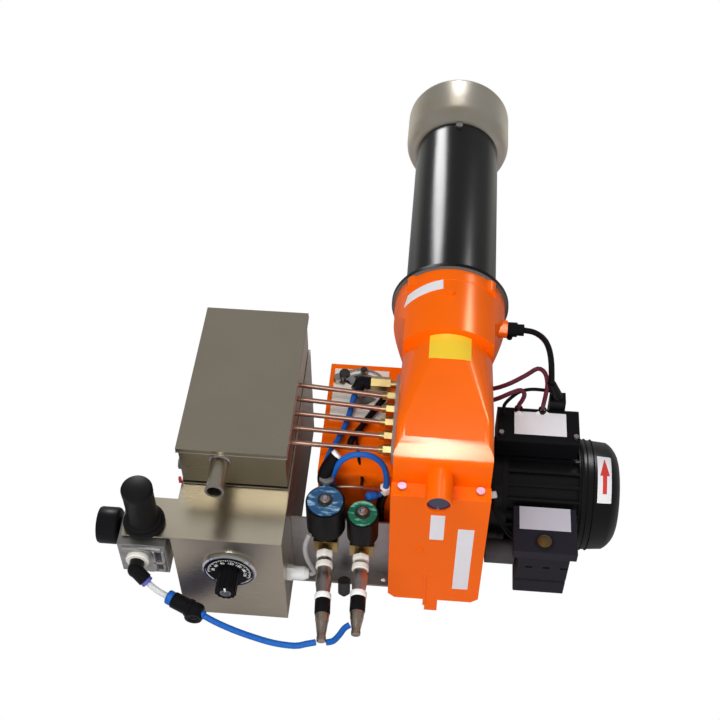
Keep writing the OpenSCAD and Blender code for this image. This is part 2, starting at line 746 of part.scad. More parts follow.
module control_base() color("dimgray") difference() {
    x0 = control_x0 + base_inset;
    x1 = control_x0 + control_w - base_inset;
    z0 = control_z - control_h;
    y0 = control_y0 + 1;
    union() {
        translate([x0, 0, 0]) rotate([90, 0, 90]) linear_extrude(x1 - x0) polygon([
            [y0, control_z - cap_t], [y0, control_z - 50], [y0 + 1.2, control_z - 51], [y0 + 1.2, control_z - 53],
            [y0, control_z - 54], [y0, z0 + 4], [y0 + 4, z0], [-204, z0], [-200, z0 + 4],
            [-200, control_z - cap_t]
        ]);
        box([x0 + 8, -200, control_z - 60], [x1 - 8, -197, control_z - 22]);
    }
    for (k = [-1:1]) box(
        [(x0 + x1) / 2 + 17 * k, y0 - cut, control_z - cap_t - 18],
        [(x0 + x1) / 2 + 17 * k + 7, y0 + 2, control_z - cap_t - 15]
    );
    at_fan() tube_x(motor_r + gap, x0 - cut, x1 + cut);
}

module control_unit() color("slategray") difference() {
    x1 = control_x0 + control_w;
    y1 = control_y0 + control_depth;
    box([control_x0, control_y0, control_z - cap_t], [x1, y1, control_z]);
    translate([button_x, button_y, control_z - 8]) cylinder(r = button_r + run, h = 10);
    translate([button_x, button_y, control_z - 1.2]) cylinder(r = button_r + 1.5, h = 3);
    at_fan() tube_x(motor_r + gap, control_x0 - cut, x1 + cut);
}
module reset_button() color("goldenrod") translate([button_x, button_y, control_z - 8 + button_travel + gap]) {
    cylinder(r = button_r, h = 8 - gap - 0.5);
    translate([0, 0, 8 - gap - 0.5]) cylinder(r1 = button_r, r2 = button_r - 2, h = 1.5);
}

module capacitor() color("dimgray") translate([0, capacitor_y, capacitor_z]) {
    tube_x(capacitor_r, half_w + adapter_t + 0.5, 79);
    tube_x(6, half_w, half_w + adapter_t + 1);
}

module photocell() color("black") translate([0, photocell_y, photocell_z]) {
    tube_x(6 - run, collar_bore - 4, collar_r + 3);
    tube_x(7.5, collar_r + 2, collar_r + 12);
    tube_x(6, collar_r + 12, photo_route[0][0]);
}

// The cables and leads are swept along their routes
module photocell_cable() color("black") swept(photo_route, 6);
module ignition_leads() color("brown") {
    swept(lead_a_route, 4.6);
    swept(lead_b_route, 4.6);
}
module transformer_cable() color("black") swept(loop_route, 3.6);
module motor_leads() color("black") {
    swept(motor_route, 3.2);
    translate([0, 2.4, 3]) swept(motor_route, 3.2);
}

// Air intake: a box that ends in a half round behind the fan's eye
module intake_outline(off) {
    r = fan_z - intake_bottom;
    translate([fan_y, intake_bottom + off]) square([intake_y1 - fan_y - off, intake_top - intake_bottom - 2 * off]);
    translate([fan_y, fan_z]) circle(r = r - off);
    translate([fan_y - r + off, fan_z]) square([2 * r - 2 * off, intake_top - fan_z - off]);
}
module intake_housing() color("orangered") difference() {
    translate([intake_x0, 0, 0]) rotate([90, 0, 90]) linear_extrude(intake_w) intake_outline(0);
    translate([intake_x0 + intake_wall, 0, 0]) rotate([90, 0, 90])
        linear_extrude(intake_w - 2 * intake_wall) intake_outline(intake_wall);
    at_fan() tube_x(inlet_d / 2, -half_w - intake_wall - cut, -half_w + cut);
    translate([pivot[0], pivot[1], intake_top - intake_wall - cut]) cylinder(r = shutter_r + 4, h = 10);
}

module sector(r, a0, a1) polygon(concat([[0, 0]], [for (a = [a0:(a1 - a0) / 6:a1]) r * [cos(a), sin(a)]]));
module damper_plate() color("oldlace") difference() {
    translate([intake_x0 + plate_inset, intake_y1 - 8 - plate_len, intake_top])
        cube([intake_w - plate_inset - 14, plate_len, plate_t]);
    translate([pivot[0], pivot[1], intake_top - cut]) {
        cylinder(r = 3 + run, h = 5);
        for (a = [0, 180]) rotate(a - 110) linear_extrude(5) difference() {
            sector(shutter_r - 2, 0, 80);
            circle(r = 8);
        }
    }
    translate([pivot[0] + slot_r * cos(lock_angle), pivot[1] + slot_r * sin(lock_angle), intake_top - cut])
        cylinder(r = 2 + run, h = 5);
}

// Damper arm: the slotted arc above the plate, its shaft and the two shutter blades below
module damper_arm() color("silver") translate([pivot[0], pivot[1], 0]) {
    translate([0, 0, arm_z]) difference() {
        union() {
            cylinder(r = 6, h = arm_t + 1);
            linear_extrude(arm_t) difference() {
                sector(slot_r + 5, 30, 165);
                circle(r = slot_r - 5);
            }
            linear_extrude(arm_t) for (a = [50, 130]) rotate(a) translate([0, -4]) square([slot_r - 3, 8]);
            rotate(thumb_angle) translate([slot_r + 3, 0, 0]) cylinder(r = 4.5, h = 7);
        }
        translate([0, 0, -cut]) linear_extrude(5) difference() {
            sector(slot_r + 2.4, 42, 144);
            circle(r = slot_r - 2.4);
        }
    }
    translate([0, 0, intake_top - 12]) cylinder(r = 3, h = 12 + plate_t + 1);
    translate([0, 0, intake_top - 1.8]) linear_extrude(1.4) {
        circle(r = 9);
        for (a = [0, 180]) rotate(a - 110) sector(shutter_r, -4, 84);
    }
}

module tank() color("lightgray") difference() {
    union() {
        box([tank_x0 + 1.9, tank_y0 + 1.9, box_top], [tank_x1 - 1.9, tank_y1 - 1.9, lid_top - 2]);
        translate([stub_x, 0, stub_z]) tube_y(stub_r, tank_y0 - stub_len, tank_y0 + 3);
        translate([tank_x0 + 2, -192, -48]) tube_x(5, -6, 0);
        box([float_pivot[0] - 5, -128, float_pivot[1] - 5], [tank_x1 - 2, -122, float_pivot[1] + 5]);
    }
    difference() {
        box(
            [tank_x0 + 1.9 + sheet, tank_y0 + 1.9 + sheet, tank_bottom + sheet],
            [tank_x1 - 1.9 - sheet, tank_y1 - 1.9 - sheet, lid_top]
        );
        box([float_pivot[0] - 5, -128, float_pivot[1] - 5], [tank_x1 - 2, -122, float_pivot[1] + 5]);
    }
    difference() {
        box([tank_x0 - 5, tank_y0 - 5, box_top + 1], [tank_x1 + 5, tank_y1 + 5, tank_bottom]);
        box([tank_x0 + 5, tank_y0 + 5, box_top - cut], [tank_x1 - 5, tank_y1 - 5, tank_bottom + cut]);
    }
    translate([stub_x, 0, stub_z]) tube_y(stub_r - 1.5, tank_y0 - stub_len - cut, tank_y0 + 6);
    translate([float_pivot[0], 0, float_pivot[1]]) tube_y(2 + run, -129, -121);
    for (k = [0:pipe_count - 1]) rod(left_end(k) + [-6, 0, 0], left_end(k) + [4, -0.3, 0], pipe_r + 0.1);
}

module tank_lid() color("darkgray") difference() {
    box([tank_x0, tank_y0, lid_top - lid_skirt], [tank_x1, tank_y1, lid_top]);
    box(
        [tank_x0 + sheet, tank_y0 + sheet, lid_top - lid_skirt - cut],
        [tank_x1 - sheet, tank_y1 - sheet, lid_top - sheet]
    );
}

// Float: a closed drum on an arm that swings about its pin
module float() color("ivory") translate([float_pivot[0], 0, float_pivot[1]]) {
    tube_y(2, -134, -118);
    translate([0, 0, -2]) {
        box([-50, -134, 0], [0, -131, 4]);
        box([-50, -119, 0], [0, -116, 4]);
    }
    translate([-52, 0, 0]) tube_y(float_r, -136, -114);
}

module heater_box() color("lightgray") difference() {
    union() {
        box([tank_x0, box_y0, box_bottom], [tank_x1, tank_y1, box_top]);
        box([reg[0] - 20, box_y0, box_top - 2], [tank_x0 + 1, reg[1] + 30, box_top]);
    }
    box(
        [tank_x0 + sheet, box_y0 + sheet, box_bottom + sheet], [tank_x1 - sheet, tank_y1 - sheet, box_top - sheet]
    );
    translate([dial[0], 0, dial[1]]) tube_y(6, box_y0 - cut, box_y0 + 3);
    translate([0, gland[0], gland[1]]) tube_x(5 + run, tank_x1 - 3, tank_x1 + cut);
    translate([reg[0], reg[1], box_top - 3]) cylinder(r = reg_neck_r + run, h = 5);
}

// Heater: two rods with a bend, on a plug in the box's right wall
module heater_element() color("dimgray") translate([0, tank_y1 - 49, box_bottom + 47]) {
    far = tank_x0 + 29;
    plug = tank_x1 - sheet - 10;
    half = 15;
    for (s = [-1, 1]) rod([far, s * half, 0], [plug, s * half, 0], 4);
    rod([far, -half - 4, 0], [far, half + 4, 0], 4);
    tube_x(24, plug, plug + 10);
}

module thermostat_body() color("silver") translate([dial[0], 0, dial[1]]) {
    difference() {
        tube_y(bezel_r, box_y0 - 3, box_y0);
        tube_y(bezel_r - 4, box_y0 - 4, box_y0 - 1);
        tube_y(4, box_y0 - 4, box_y0 + cut);
    }
    difference() {
        union() {
            tube_y(5.9, box_y0 - 1, box_y0 + 2);
            box([-20, box_y0 + sheet, -20], [20, box_y0 + 26, 20]);
        }
        tube_y(3 + run, box_y0 - 4, box_y0 + 15);
    }
}
module thermostat_knob() color("black") translate([dial[0], 0, dial[1]]) {
    tube_y(3, box_y0 - 4, box_y0 + 14);
    tube_y(skirt_r, box_y0 - 4.5, box_y0 - 3.2);
    difference() {
        tube_y(knob_r, box_y0 - 28, box_y0 - 4);
        for (k = [0:11]) rotate([0, 30 * k, 0]) translate([knob_r + 0.6, 0, 0]) tube_y(1.6, box_y0 - 29, box_y0 - 6);
    }
}

module cable_gland() color("white") translate([0, gland[0], gland[1]]) difference() {
    union() {
        tube_x(5, tank_x1 - sheet - 3, tank_x1 + 2);
        translate([tank_x1, 0, 0]) along_x() hex(gland_r + 1, 6);
        tube_x(gland_r, tank_x1 + 6, tank_x1 + 17);
        translate([tank_x1 + 17, 0, 0]) along_x() cylinder(r1 = gland_r, r2 = 4.6, h = 5);
    }
    tube_x(2.6, tank_x1 - 6, tank_x1 + 30);
}
module heater_cable() color("white") swept(heater_route, 5);

function left_end(k) = [tank_x1 - 3.2, first_left - pitch_left * k, line_z + 1];
function right_end(k) = [bar_x0 - nut_len + 2, first_right - pitch_right * k, line_z];
module oil_pipes() color("peru") for (k = [0:pipe_count - 1]) rod(left_end(k), right_end(k), pipe_r);
module manifold_bar() color("silver") difference() {
    box([bar_x0, -183, line_z - 9], [-half_w, bar_y, line_z + 9]);
    for (k = [0:pipe_count - 1]) translate([0, right_end(k)[1], line_z]) tube_x(2.2, bar_x0 - cut, bar_x0 + 3);
}
module pipe_nuts() color("goldenrod") {
    for (k = [0:pipe_count - 1]) translate([0, right_end(k)[1], line_z]) difference() {
        union() {
            translate([bar_x0 - 8, 0, 0]) along_x() hex(nut_r, 8);
            tube_x(nut_r - 2, bar_x0 - nut_len, bar_x0 - 8);
        }
        tube_x(pipe_r + 0.1, bar_x0 - nut_len - cut, bar_x0 - nut_len + 3);
    }
    translate([0, line_y, line_z]) {
        translate([bar_x0 - 26, 0, 0]) along_x() hex(7.5, 20);
        tube_x(4, bar_x0 - 7, bar_x0);
    }
}

// A brass valve block with its stem tube; the coil sits over the stem
module valve_body(p, cap_z) translate([p[0], p[1], 0]) difference() {
    union() {
        box([-block / 2, -block / 2, port_z - 10], [block / 2, block / 2, port_z + 8]);
        translate([0, 0, port_z + 7]) cylinder(r = stem_r, h = cap_z - port_z - 7 + 3);
        translate([0, -block / 2 - 6, port_z]) tube_y(7, 0, 7);
        translate([0, block / 2 - 1, port_z]) tube_y(7, 0, 9);
    }
    translate([0, 0, port_z]) cylinder(r = bore_r, h = cap_z - port_z);
    translate([0, 0, port_z]) tube_y(3, -block / 2 - 8, block / 2 + 10);
}
module valve_bodies() color("goldenrod") {
    valve_body(valve_a, cap_a_z);
    valve_body(valve_b, cap_b_z);
}
module coil(p, d, z, h) translate([p[0], p[1], z - 2 - h]) {
    ring(d / 2, stem_r + run, h);
    difference() {
        translate([-8, d / 2 - 3, 4]) cube([16, 7.4, 18]);
        translate([0, 0, -cut]) cylinder(r = stem_r + run, h = h);
    }
}
module valve_coils() color("black") {
    coil(valve_a, coil_a_d, cap_a_z, coil_a_h);
    coil(valve_b, coil_b_d, cap_b_z, coil_b_h);
}
module coil_cap(p, d, z) translate([p[0], p[1], 0]) {
    translate([0, 0, z - 2]) ring(d / 2 - 2, stem_r + run, 2);
    translate([0, 0, z]) difference() {
        hex(6.5, 5);
        translate([0, 0, -cut]) cylinder(r = stem_r + run, h = 4.2);
    }
}
module coil_caps() color("teal") {
    coil_cap(valve_a, coil_a_d, cap_a_z);
    coil_cap(valve_b, coil_b_d, cap_b_z);
}
module plunger(p) translate([p[0], p[1], port_z + 9]) cylinder(r = bore_r - run, h = 26);
module plunger_a() color("silver") plunger(valve_a);
module plunger_b() color("silver") plunger(valve_b);

// Outlet fittings: a hex nipple, a body and a white hex on each valve, and the barb at the end
module at_outlet(p, lean) translate([p[0], p[1] - block / 2 - 6, port_z]) rotate([3, 0, lean]) mirror([0, 1, 0])
    children();
module outlet(reach) {
    seat = 0.8;
    translate([0, seat, 0]) along_y() hex(9, 8 - seat);
    tube_y(7.5, 7, 27);
    translate([0, 17, -6.5]) cylinder(r = 7, h = 13);
    translate([0, 26, 0]) along_y() hex(9, 9);
    tube_y(5, 34, reach - 30);
    translate([0, reach - 34, 0]) along_y() cylinder(r1 = 7.5, r2 = 4.6, h = 22);
    tube_y(4.4, reach - 13, reach);
}
module outlet_fittings() color("silver") {
    at_outlet(valve_a, lean_a) outlet(reach_a);
    at_outlet(valve_b, lean_b) outlet(reach_b);
}

// Black push-in fittings, one solid each
module elbow(p, in_dir, out_dir, r, reach) {
    rod(p, p + reach * in_dir, r);
    rod(p, p + reach * out_dir, r);
    translate(p) sphere(r = r + 0.6);
}
module sleeve(reach) difference() {
    tube_y(8, 35.3, reach - 34.3);
    tube_y(5 + run, 34, reach - 30);
}
module push_in_fittings() color("black") {
    elbow([-286, reg_front - 14, -86], [0, 1, 0], [0.72, -0.45, -0.5], 7, 14);
    rod([-250, -312, -101], [-219, -324, -106], 8);
    elbow([bar_x0 - 36, line_y, line_z], [1, 0, 0], [-0.45, -0.83, -0.34], 6.5, 10);
    for (q = [valve_a, valve_b]) translate([q[0], 0, port_z]) tube_y(5.5, q[1] + block / 2 + 8, inlet_y);
    for (x = [valve_a[0] - 5, valve_a[0] + 5, valve_b[0] + 14.8])
        translate([x, inlet_y, port_z - 4]) cylinder(r = 4.7, h = 20.3);
    translate([valve_a[0] - 7, inlet_y - 4.3, port_z - 4.5]) cube([14, 8.6, 9]);
    translate([valve_b[0] - 5.2, inlet_y - 4.3, port_z - 4.5]) cube([20, 8.6, 9]);
    at_outlet(valve_a, lean_a) sleeve(reach_a);
    at_outlet(valve_b, lean_b) sleeve(reach_b);
}

module support_frame() color("silver") difference() {
    union() {
        box([tank_x1 + 0.2, plate_y, -192], [-half_w - 0.2, plate_y + frame_t, -97]);
        box([tank_x1 + 0.2, plate_y - 14, -194], [-half_w - 0.2, plate_y + frame_t, -191]);
        for (p = [valve_a, valve_b]) box([p[0] - 7, p[1] + block / 2, -130], [p[0] + 7, plate_y + 1, port_z - 9]);
    }
    for (p = [valve_a, valve_b]) translate([p[0], 0, port_z]) tube_y(8, plate_y - 5, plate_y + 5);
}

module regulator_body() color("silver") difference() {
    w = regulator_w / 2;
    union() {
        translate([reg[0], reg[1], 0]) {
            box([-w, -w, -110], [w, w, box_top - 4]);
            translate([0, 0, reg_body_z0]) cylinder(r1 = 13, r2 = 20, h = 19);
            translate([0, 0, box_top - 5]) cylinder(r = reg_neck_r, h = 12);
        }
    }
    translate([reg[0], reg[1], -70]) cylinder(r = 7, h = 30);
    translate([-286, 0, -86]) tube_y(5, reg_front - cut, reg_front + 12);
}
module regulator_knob() color("black") translate([reg[0], reg[1], 0]) {
    difference() {
        union() {
            translate([0, 0, box_top + 0.3]) cylinder(r1 = 20, r2 = 19, h = 6);
            translate([0, 0, box_top + 6.3]) cylinder(r1 = 19, r2 = regulator_knob_d / 2 + 1, h = 8);
            translate([0, 0, box_top + 14.3]) cylinder(r = regulator_knob_d / 2, h = 44);
        }
        translate([0, 0, box_top]) cylinder(r = reg_neck_r + 0.3, h = 7.4);
        for (k = [0:17]) rotate(20 * k) translate([regulator_knob_d / 2 + 0.7, 0, box_top + 22])
            cylinder(r = 1.5, h = 40);
    }
}
module pressure_gauge() color("black") {
    translate([0, gauge[0], gauge[1]]) {
        tube_x(4, reg[0] - regulator_w / 2 - 8, reg[0] - regulator_w / 2);
        tube_x(gauge_r, reg[0] - regulator_w / 2 - 8 - gauge_t, reg[0] - regulator_w / 2 - 8);
    }
}

module clear_tube() color("whitesmoke") swept(clear_route, hose_d);
module hose_front() color("royalblue") {
    swept(front_route, hose_d);
    swept(link_route, hose_d);
}
module hose_rear() color("royalblue") {
    swept(rear_route_a, hose_d);
    swept(rear_route_b, hose_d);
}

housing();
rear_cover();
fixing_screws();
sight_glass();
tube_flange();
flange_gasket();
blast_tube();
flame_head();
diffuser();
nozzle_gun();
nozzle();
electrode_rods();
electrode_insulators();
impeller();
motor_adapter();
motor_shell();
stator();
rotor();
motor_bearings();
cooling_fan();
fan_cover();
ignition_transformer();
control_base();
control_unit();
reset_button();
capacitor();
photocell();
photocell_cable();
ignition_leads();
transformer_cable();
motor_leads();
intake_housing();
damper_plate();
damper_arm();
tank();
tank_lid();
float();
heater_box();
heater_element();
thermostat_body();
thermostat_knob();
cable_gland();
heater_cable();
oil_pipes();
manifold_bar();
pipe_nuts();
valve_bodies();
valve_coils();
coil_caps();
plunger_a();
plunger_b();
outlet_fittings();
push_in_fittings();
support_frame();
regulator_body();
regulator_knob();
pressure_gauge();
clear_tube();
hose_front();
hose_rear();
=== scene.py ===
import json
import math

import bmesh
import bpy
from bpy.props import FloatProperty, FloatVectorProperty, PointerProperty
from mathutils import Matrix, Vector
from mathutils.bvhtree import BVHTree

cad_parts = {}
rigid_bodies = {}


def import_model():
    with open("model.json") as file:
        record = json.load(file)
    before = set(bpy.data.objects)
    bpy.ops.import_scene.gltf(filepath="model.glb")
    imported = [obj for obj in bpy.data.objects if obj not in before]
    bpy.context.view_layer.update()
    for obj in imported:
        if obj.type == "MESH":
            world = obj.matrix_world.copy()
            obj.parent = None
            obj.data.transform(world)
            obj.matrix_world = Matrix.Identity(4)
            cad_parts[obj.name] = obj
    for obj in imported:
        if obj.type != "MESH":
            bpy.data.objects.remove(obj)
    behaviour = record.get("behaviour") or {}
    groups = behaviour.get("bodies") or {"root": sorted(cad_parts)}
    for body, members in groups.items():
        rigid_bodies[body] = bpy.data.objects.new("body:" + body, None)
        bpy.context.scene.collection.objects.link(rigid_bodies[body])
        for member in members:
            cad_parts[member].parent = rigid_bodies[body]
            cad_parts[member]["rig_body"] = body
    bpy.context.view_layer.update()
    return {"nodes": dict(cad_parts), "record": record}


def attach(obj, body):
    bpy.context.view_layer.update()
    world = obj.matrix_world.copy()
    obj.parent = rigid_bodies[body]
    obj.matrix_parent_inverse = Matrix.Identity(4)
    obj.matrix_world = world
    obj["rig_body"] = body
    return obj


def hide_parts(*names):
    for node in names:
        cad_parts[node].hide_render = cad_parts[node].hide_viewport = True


bl_info = {
    "name": "Waste oil burner",
    "version": (1, 0, 0),
    "blender": (4, 5, 0),
    "location": "View3D > Sidebar > Burner",
    "description": "Dresses the packed burner with its finishes, fine pieces, hoses and studio",
    "category": "Object",
}

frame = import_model()
BURNER = "burner"
SLOT_OF = {row["node"]: row["material_slot"] for row in frame["record"]["subparts"]}


def mm(*values):
    return Vector([value / 1000 for value in values])


# Values a user would change

def colour(name, description, default):
    return FloatVectorProperty(
        name=name, description=description, subtype="COLOR", size=3, min=0, max=1, default=default
    )


def length(name, description, default):
    return FloatProperty(name=name, description=description, unit="LENGTH", min=0, default=default)


class BurnerColours(bpy.types.PropertyGroup):
    paint: colour("Housing paint", "Gloss orange of the castings", (0.95, 0.135, 0.001))
    black: colour("Black finish", "Satin black of the tube and the motor", (0.005, 0.005, 0.005))
    steel: colour("Tank steel", "Brushed sheet of the tank and the heater box", (0.62, 0.56, 0.44))
    stainless: colour("Flame head", "Warm stainless of the flame head", (0.72, 0.67, 0.58))
    hose: colour("Air hose", "Blue of the air hoses", (0.008, 0.11, 0.45))


class BurnerSizes(bpy.types.PropertyGroup):
    edge: length("Casting edge", "Rounding on the painted castings' edges", 0.0016)
    fine_edge: length("Fine edge", "Rounding on machined and moulded edges", 0.0004)
    lens: FloatProperty(name="Lens", description="Focal length on a 36 mm film", default=60.2)


# Shader maths on sockets

class Value:
    """A shader socket that takes part in Python sums."""

    def __init__(self, graph, socket):
        self.graph, self.socket = graph, socket

    def _math(self, operation, a, b):
        return self.graph.node("ShaderNodeMath", {"operation": operation}, {0: a, 1: b})[0]

    def __add__(self, other):
        return self._math("ADD", self, other)

    def __radd__(self, other):
        return self._math("ADD", other, self)

    def __sub__(self, other):
        return self._math("SUBTRACT", self, other)

    def __rsub__(self, other):
        return self._math("SUBTRACT", other, self)

    def __mul__(self, other):
        return self._math("MULTIPLY", self, other)

    def __rmul__(self, other):
        return self._math("MULTIPLY", other, self)

    def step(self, low, high):
        """0 below low, 1 above high, and smooth between."""
        settings = {"interpolation_type": "SMOOTHSTEP"}
        return self.graph.node("ShaderNodeMapRange", settings, {0: self, 1: low, 2: high})[0]


class Outputs:
    def __init__(self, graph, node):
        self.graph, self.all = graph, node.outputs

    def __getitem__(self, key):
        return Value(self.graph, self.all[key])


class Graph:
    """The node tree of one material, with its Principled shader."""

    def __init__(self, name):
        self.material = bpy.data.materials.new(name)
        self.material.use_nodes = True
        self.tree = self.material.node_tree
        self.shader = self.tree.nodes["Principled BSDF"]

    def node(self, kind, settings=None, inputs=None):
        node = self.tree.nodes.new(kind)
        for key, value in (settings or {}).items():
            setattr(node, key, value)
        for key, value in (inputs or {}).items():
            self.feed(node.inputs[key], value)
        return Outputs(self, node)

    def feed(self, socket, value):
        if isinstance(value, Value):
            self.tree.links.new(value.socket, socket)
        elif hasattr(socket.default_value, "__len__") and len(socket.default_value) == 4:
            socket.default_value = (*value[:3], 1) if hasattr(value, "__len__") else (value, value, value, 1)
        else:
            socket.default_value = value

    def set(self, **inputs):
        for key, value in inputs.items():
            self.feed(self.shader.inputs[key.replace("_", " ")], value)
        return self

    def place(self, scale=(1, 1, 1), turn=(0, 0, 0), shift=(0, 0, 0)):
        """Object coordinates, stretched, turned and shifted."""
        spot = self.node("ShaderNodeTexCoord")["Object"]
        inputs = {"Vector": spot, "Scale": scale, "Rotation": turn, "Location": shift}
        return self.node("ShaderNodeMapping", None, inputs)["Vector"]

    def noise(self, scale, stretch=(1, 1, 1), detail=4, rough=0.55):
        inputs = {"Vector": self.place(stretch), "Scale": scale, "Detail": detail, "Roughness": rough}
        return self.node("ShaderNodeTexNoise", None, inputs)[0]

    def mix(self, factor, a, b, blend="MIX"):
        settings = {"data_type": "RGBA", "blend_type": blend}
        return self.node("ShaderNodeMix", settings, {0: factor, 6: a, 7: b})[2]

    def bump(self, height, strength, distance=0.0005, under=None):
        inputs = {"Height": height, "Strength": strength, "Distance": distance}
        if under is not None:
            inputs["Normal"] = under
        return self.node("ShaderNodeBump", None, inputs)[0]


def shade(tone, factor):
    return tuple(min(1, channel * factor) for channel in tone)


def painted(name, tone, rough, grain, depth, drift, shine, gloss=(1, 1, 1)):
    """Paint over a casting or sheet, with its faint orange peel, tone drift and the colour of its gloss."""
    g = Graph(name)
    broad = g.noise(9, detail=3)
    peel = g.noise(grain, detail=3)
    g.set(
        Base_Color=g.mix(broad.step(0.3, 0.7), shade(tone, 1 - drift), shade(tone, 1 + drift)),
        Roughness=rough + (broad - 0.5) * 0.12,
        Coat_Roughness=0.12, Specular_IOR_Level=shine, Specular_Tint=gloss,
        Normal=g.bump(peel, depth, 0.0006),
    )
    return g.material


def brushed(name, tone, rough, stretch, scale, depth, drift=0.10):
    """Sheet metal with brush lines drawn out along one axis."""
    g = Graph(name)
    lines = g.noise(scale, stretch, detail=5, rough=0.7)
    clouds = g.noise(7, detail=3)
    tint = g.mix(lines, shade(tone, 1 - drift), shade(tone, 1 + drift))
    g.set(
        Base_Color=g.mix(clouds.step(0.35, 0.75) * 0.5, tint, shade(tone, 0.82)),
        Metallic=1.0,
        Roughness=rough + (lines - 0.5) * 0.16 + (clouds - 0.5) * 0.12,
        Normal=g.bump(lines, depth, 0.0003),
    )
    return g.material


def spun(name, tone):
    """Stainless turned on a lathe: rings round the tube's axis and a warmer, heated front."""
    g = Graph(name)
    rings = g.noise(1, (0, 2600, 0), detail=3)
    broad = g.noise(1, (3, 60, 3), detail=3)
    clouds = g.noise(14, detail=4)
    tint = g.mix(rings, shade(tone, 0.88), shade(tone, 1.1))
    warm = g.mix(clouds.step(0.42, 0.7) * 0.6, tint, (0.62, 0.50, 0.30))
    g.set(
        Base_Color=warm, Metallic=1.0,
        Roughness=0.34 + (rings - 0.5) * 0.14 + (broad - 0.5) * 0.1,
        Normal=g.bump(rings, 0.22, 0.0003, g.bump(broad, 0.15, 0.001)),
    )
    return g.material


def metal(name, tone, rough=0.3, grain=260, depth=0.15, stain=None, amount=0.4):
    """Cast, plated or drawn metal, with a stain in its clouded places."""
    g = Graph(name)
    clouds = g.noise(60, detail=5)
    fine = g.noise(grain * 4, detail=3)
    dark = stain or shade(tone, 0.7)
    g.set(
        Base_Color=g.mix(clouds.step(0.45, 0.75) * amount, tone, dark), Metallic=1.0,
        Roughness=rough + (clouds - 0.5) * 0.2,
        Normal=g.bump(fine, depth, 0.0004),
    )
    return g.material


def moulded(name, tone, rough=0.42, grain=1500, depth=0.10, coat=0.0, drift=0.12, shine=0.4):
    """Moulded plastic or rubber with a fine eroded surface."""
    g = Graph(name)
    fine = g.noise(grain, detail=2)
    clouds = g.noise(22, detail=3)
    g.set(
        Base_Color=g.mix(clouds, shade(tone, 1 - drift), shade(tone, 1 + drift)),
        Roughness=rough + (clouds - 0.5) * 0.14 + (fine - 0.5) * 0.06,
        Coat_Weight=coat, Specular_IOR_Level=shine,
        Normal=g.bump(fine, depth, 0.0003),
    )
    return g.material


def mottled(name, tone, pale, turn=0.7):
    """Printed film under clear plastic: a deep tone with pale slanting streaks."""
    g = Graph(name)
    where = g.place((1, 3.2, 1), (0, 0, turn))
    inputs = {"Vector": where, "Scale": 62, "Detail": 5, "Roughness": 0.6}
    streaks = g.node("ShaderNodeTexNoise", None, inputs)[0]
    fine = g.noise(420, detail=3)
    g.set(
        Base_Color=g.mix(streaks.step(0.50, 0.66), tone, pale),
        Roughness=0.22 + (fine - 0.5) * 0.1,
        Coat_Weight=0.4,
        Normal=g.bump(fine, 0.03, 0.0003),
    )
    return g.material


def printed(name, tone):
    """A bare sticker: pale film with soft, uneven gloss."""
    g = Graph(name)
    clouds = g.noise(90, detail=3)
    g.set(
        Base_Color=g.mix(clouds, shade(tone, 0.94), shade(tone, 1.02)),
        Roughness=0.34 + (clouds - 0.5) * 0.2,
        Coat_Weight=0.25,
        Normal=g.bump(clouds, 0.05, 0.0003),
    )
    return g.material


MATERIALS = {}


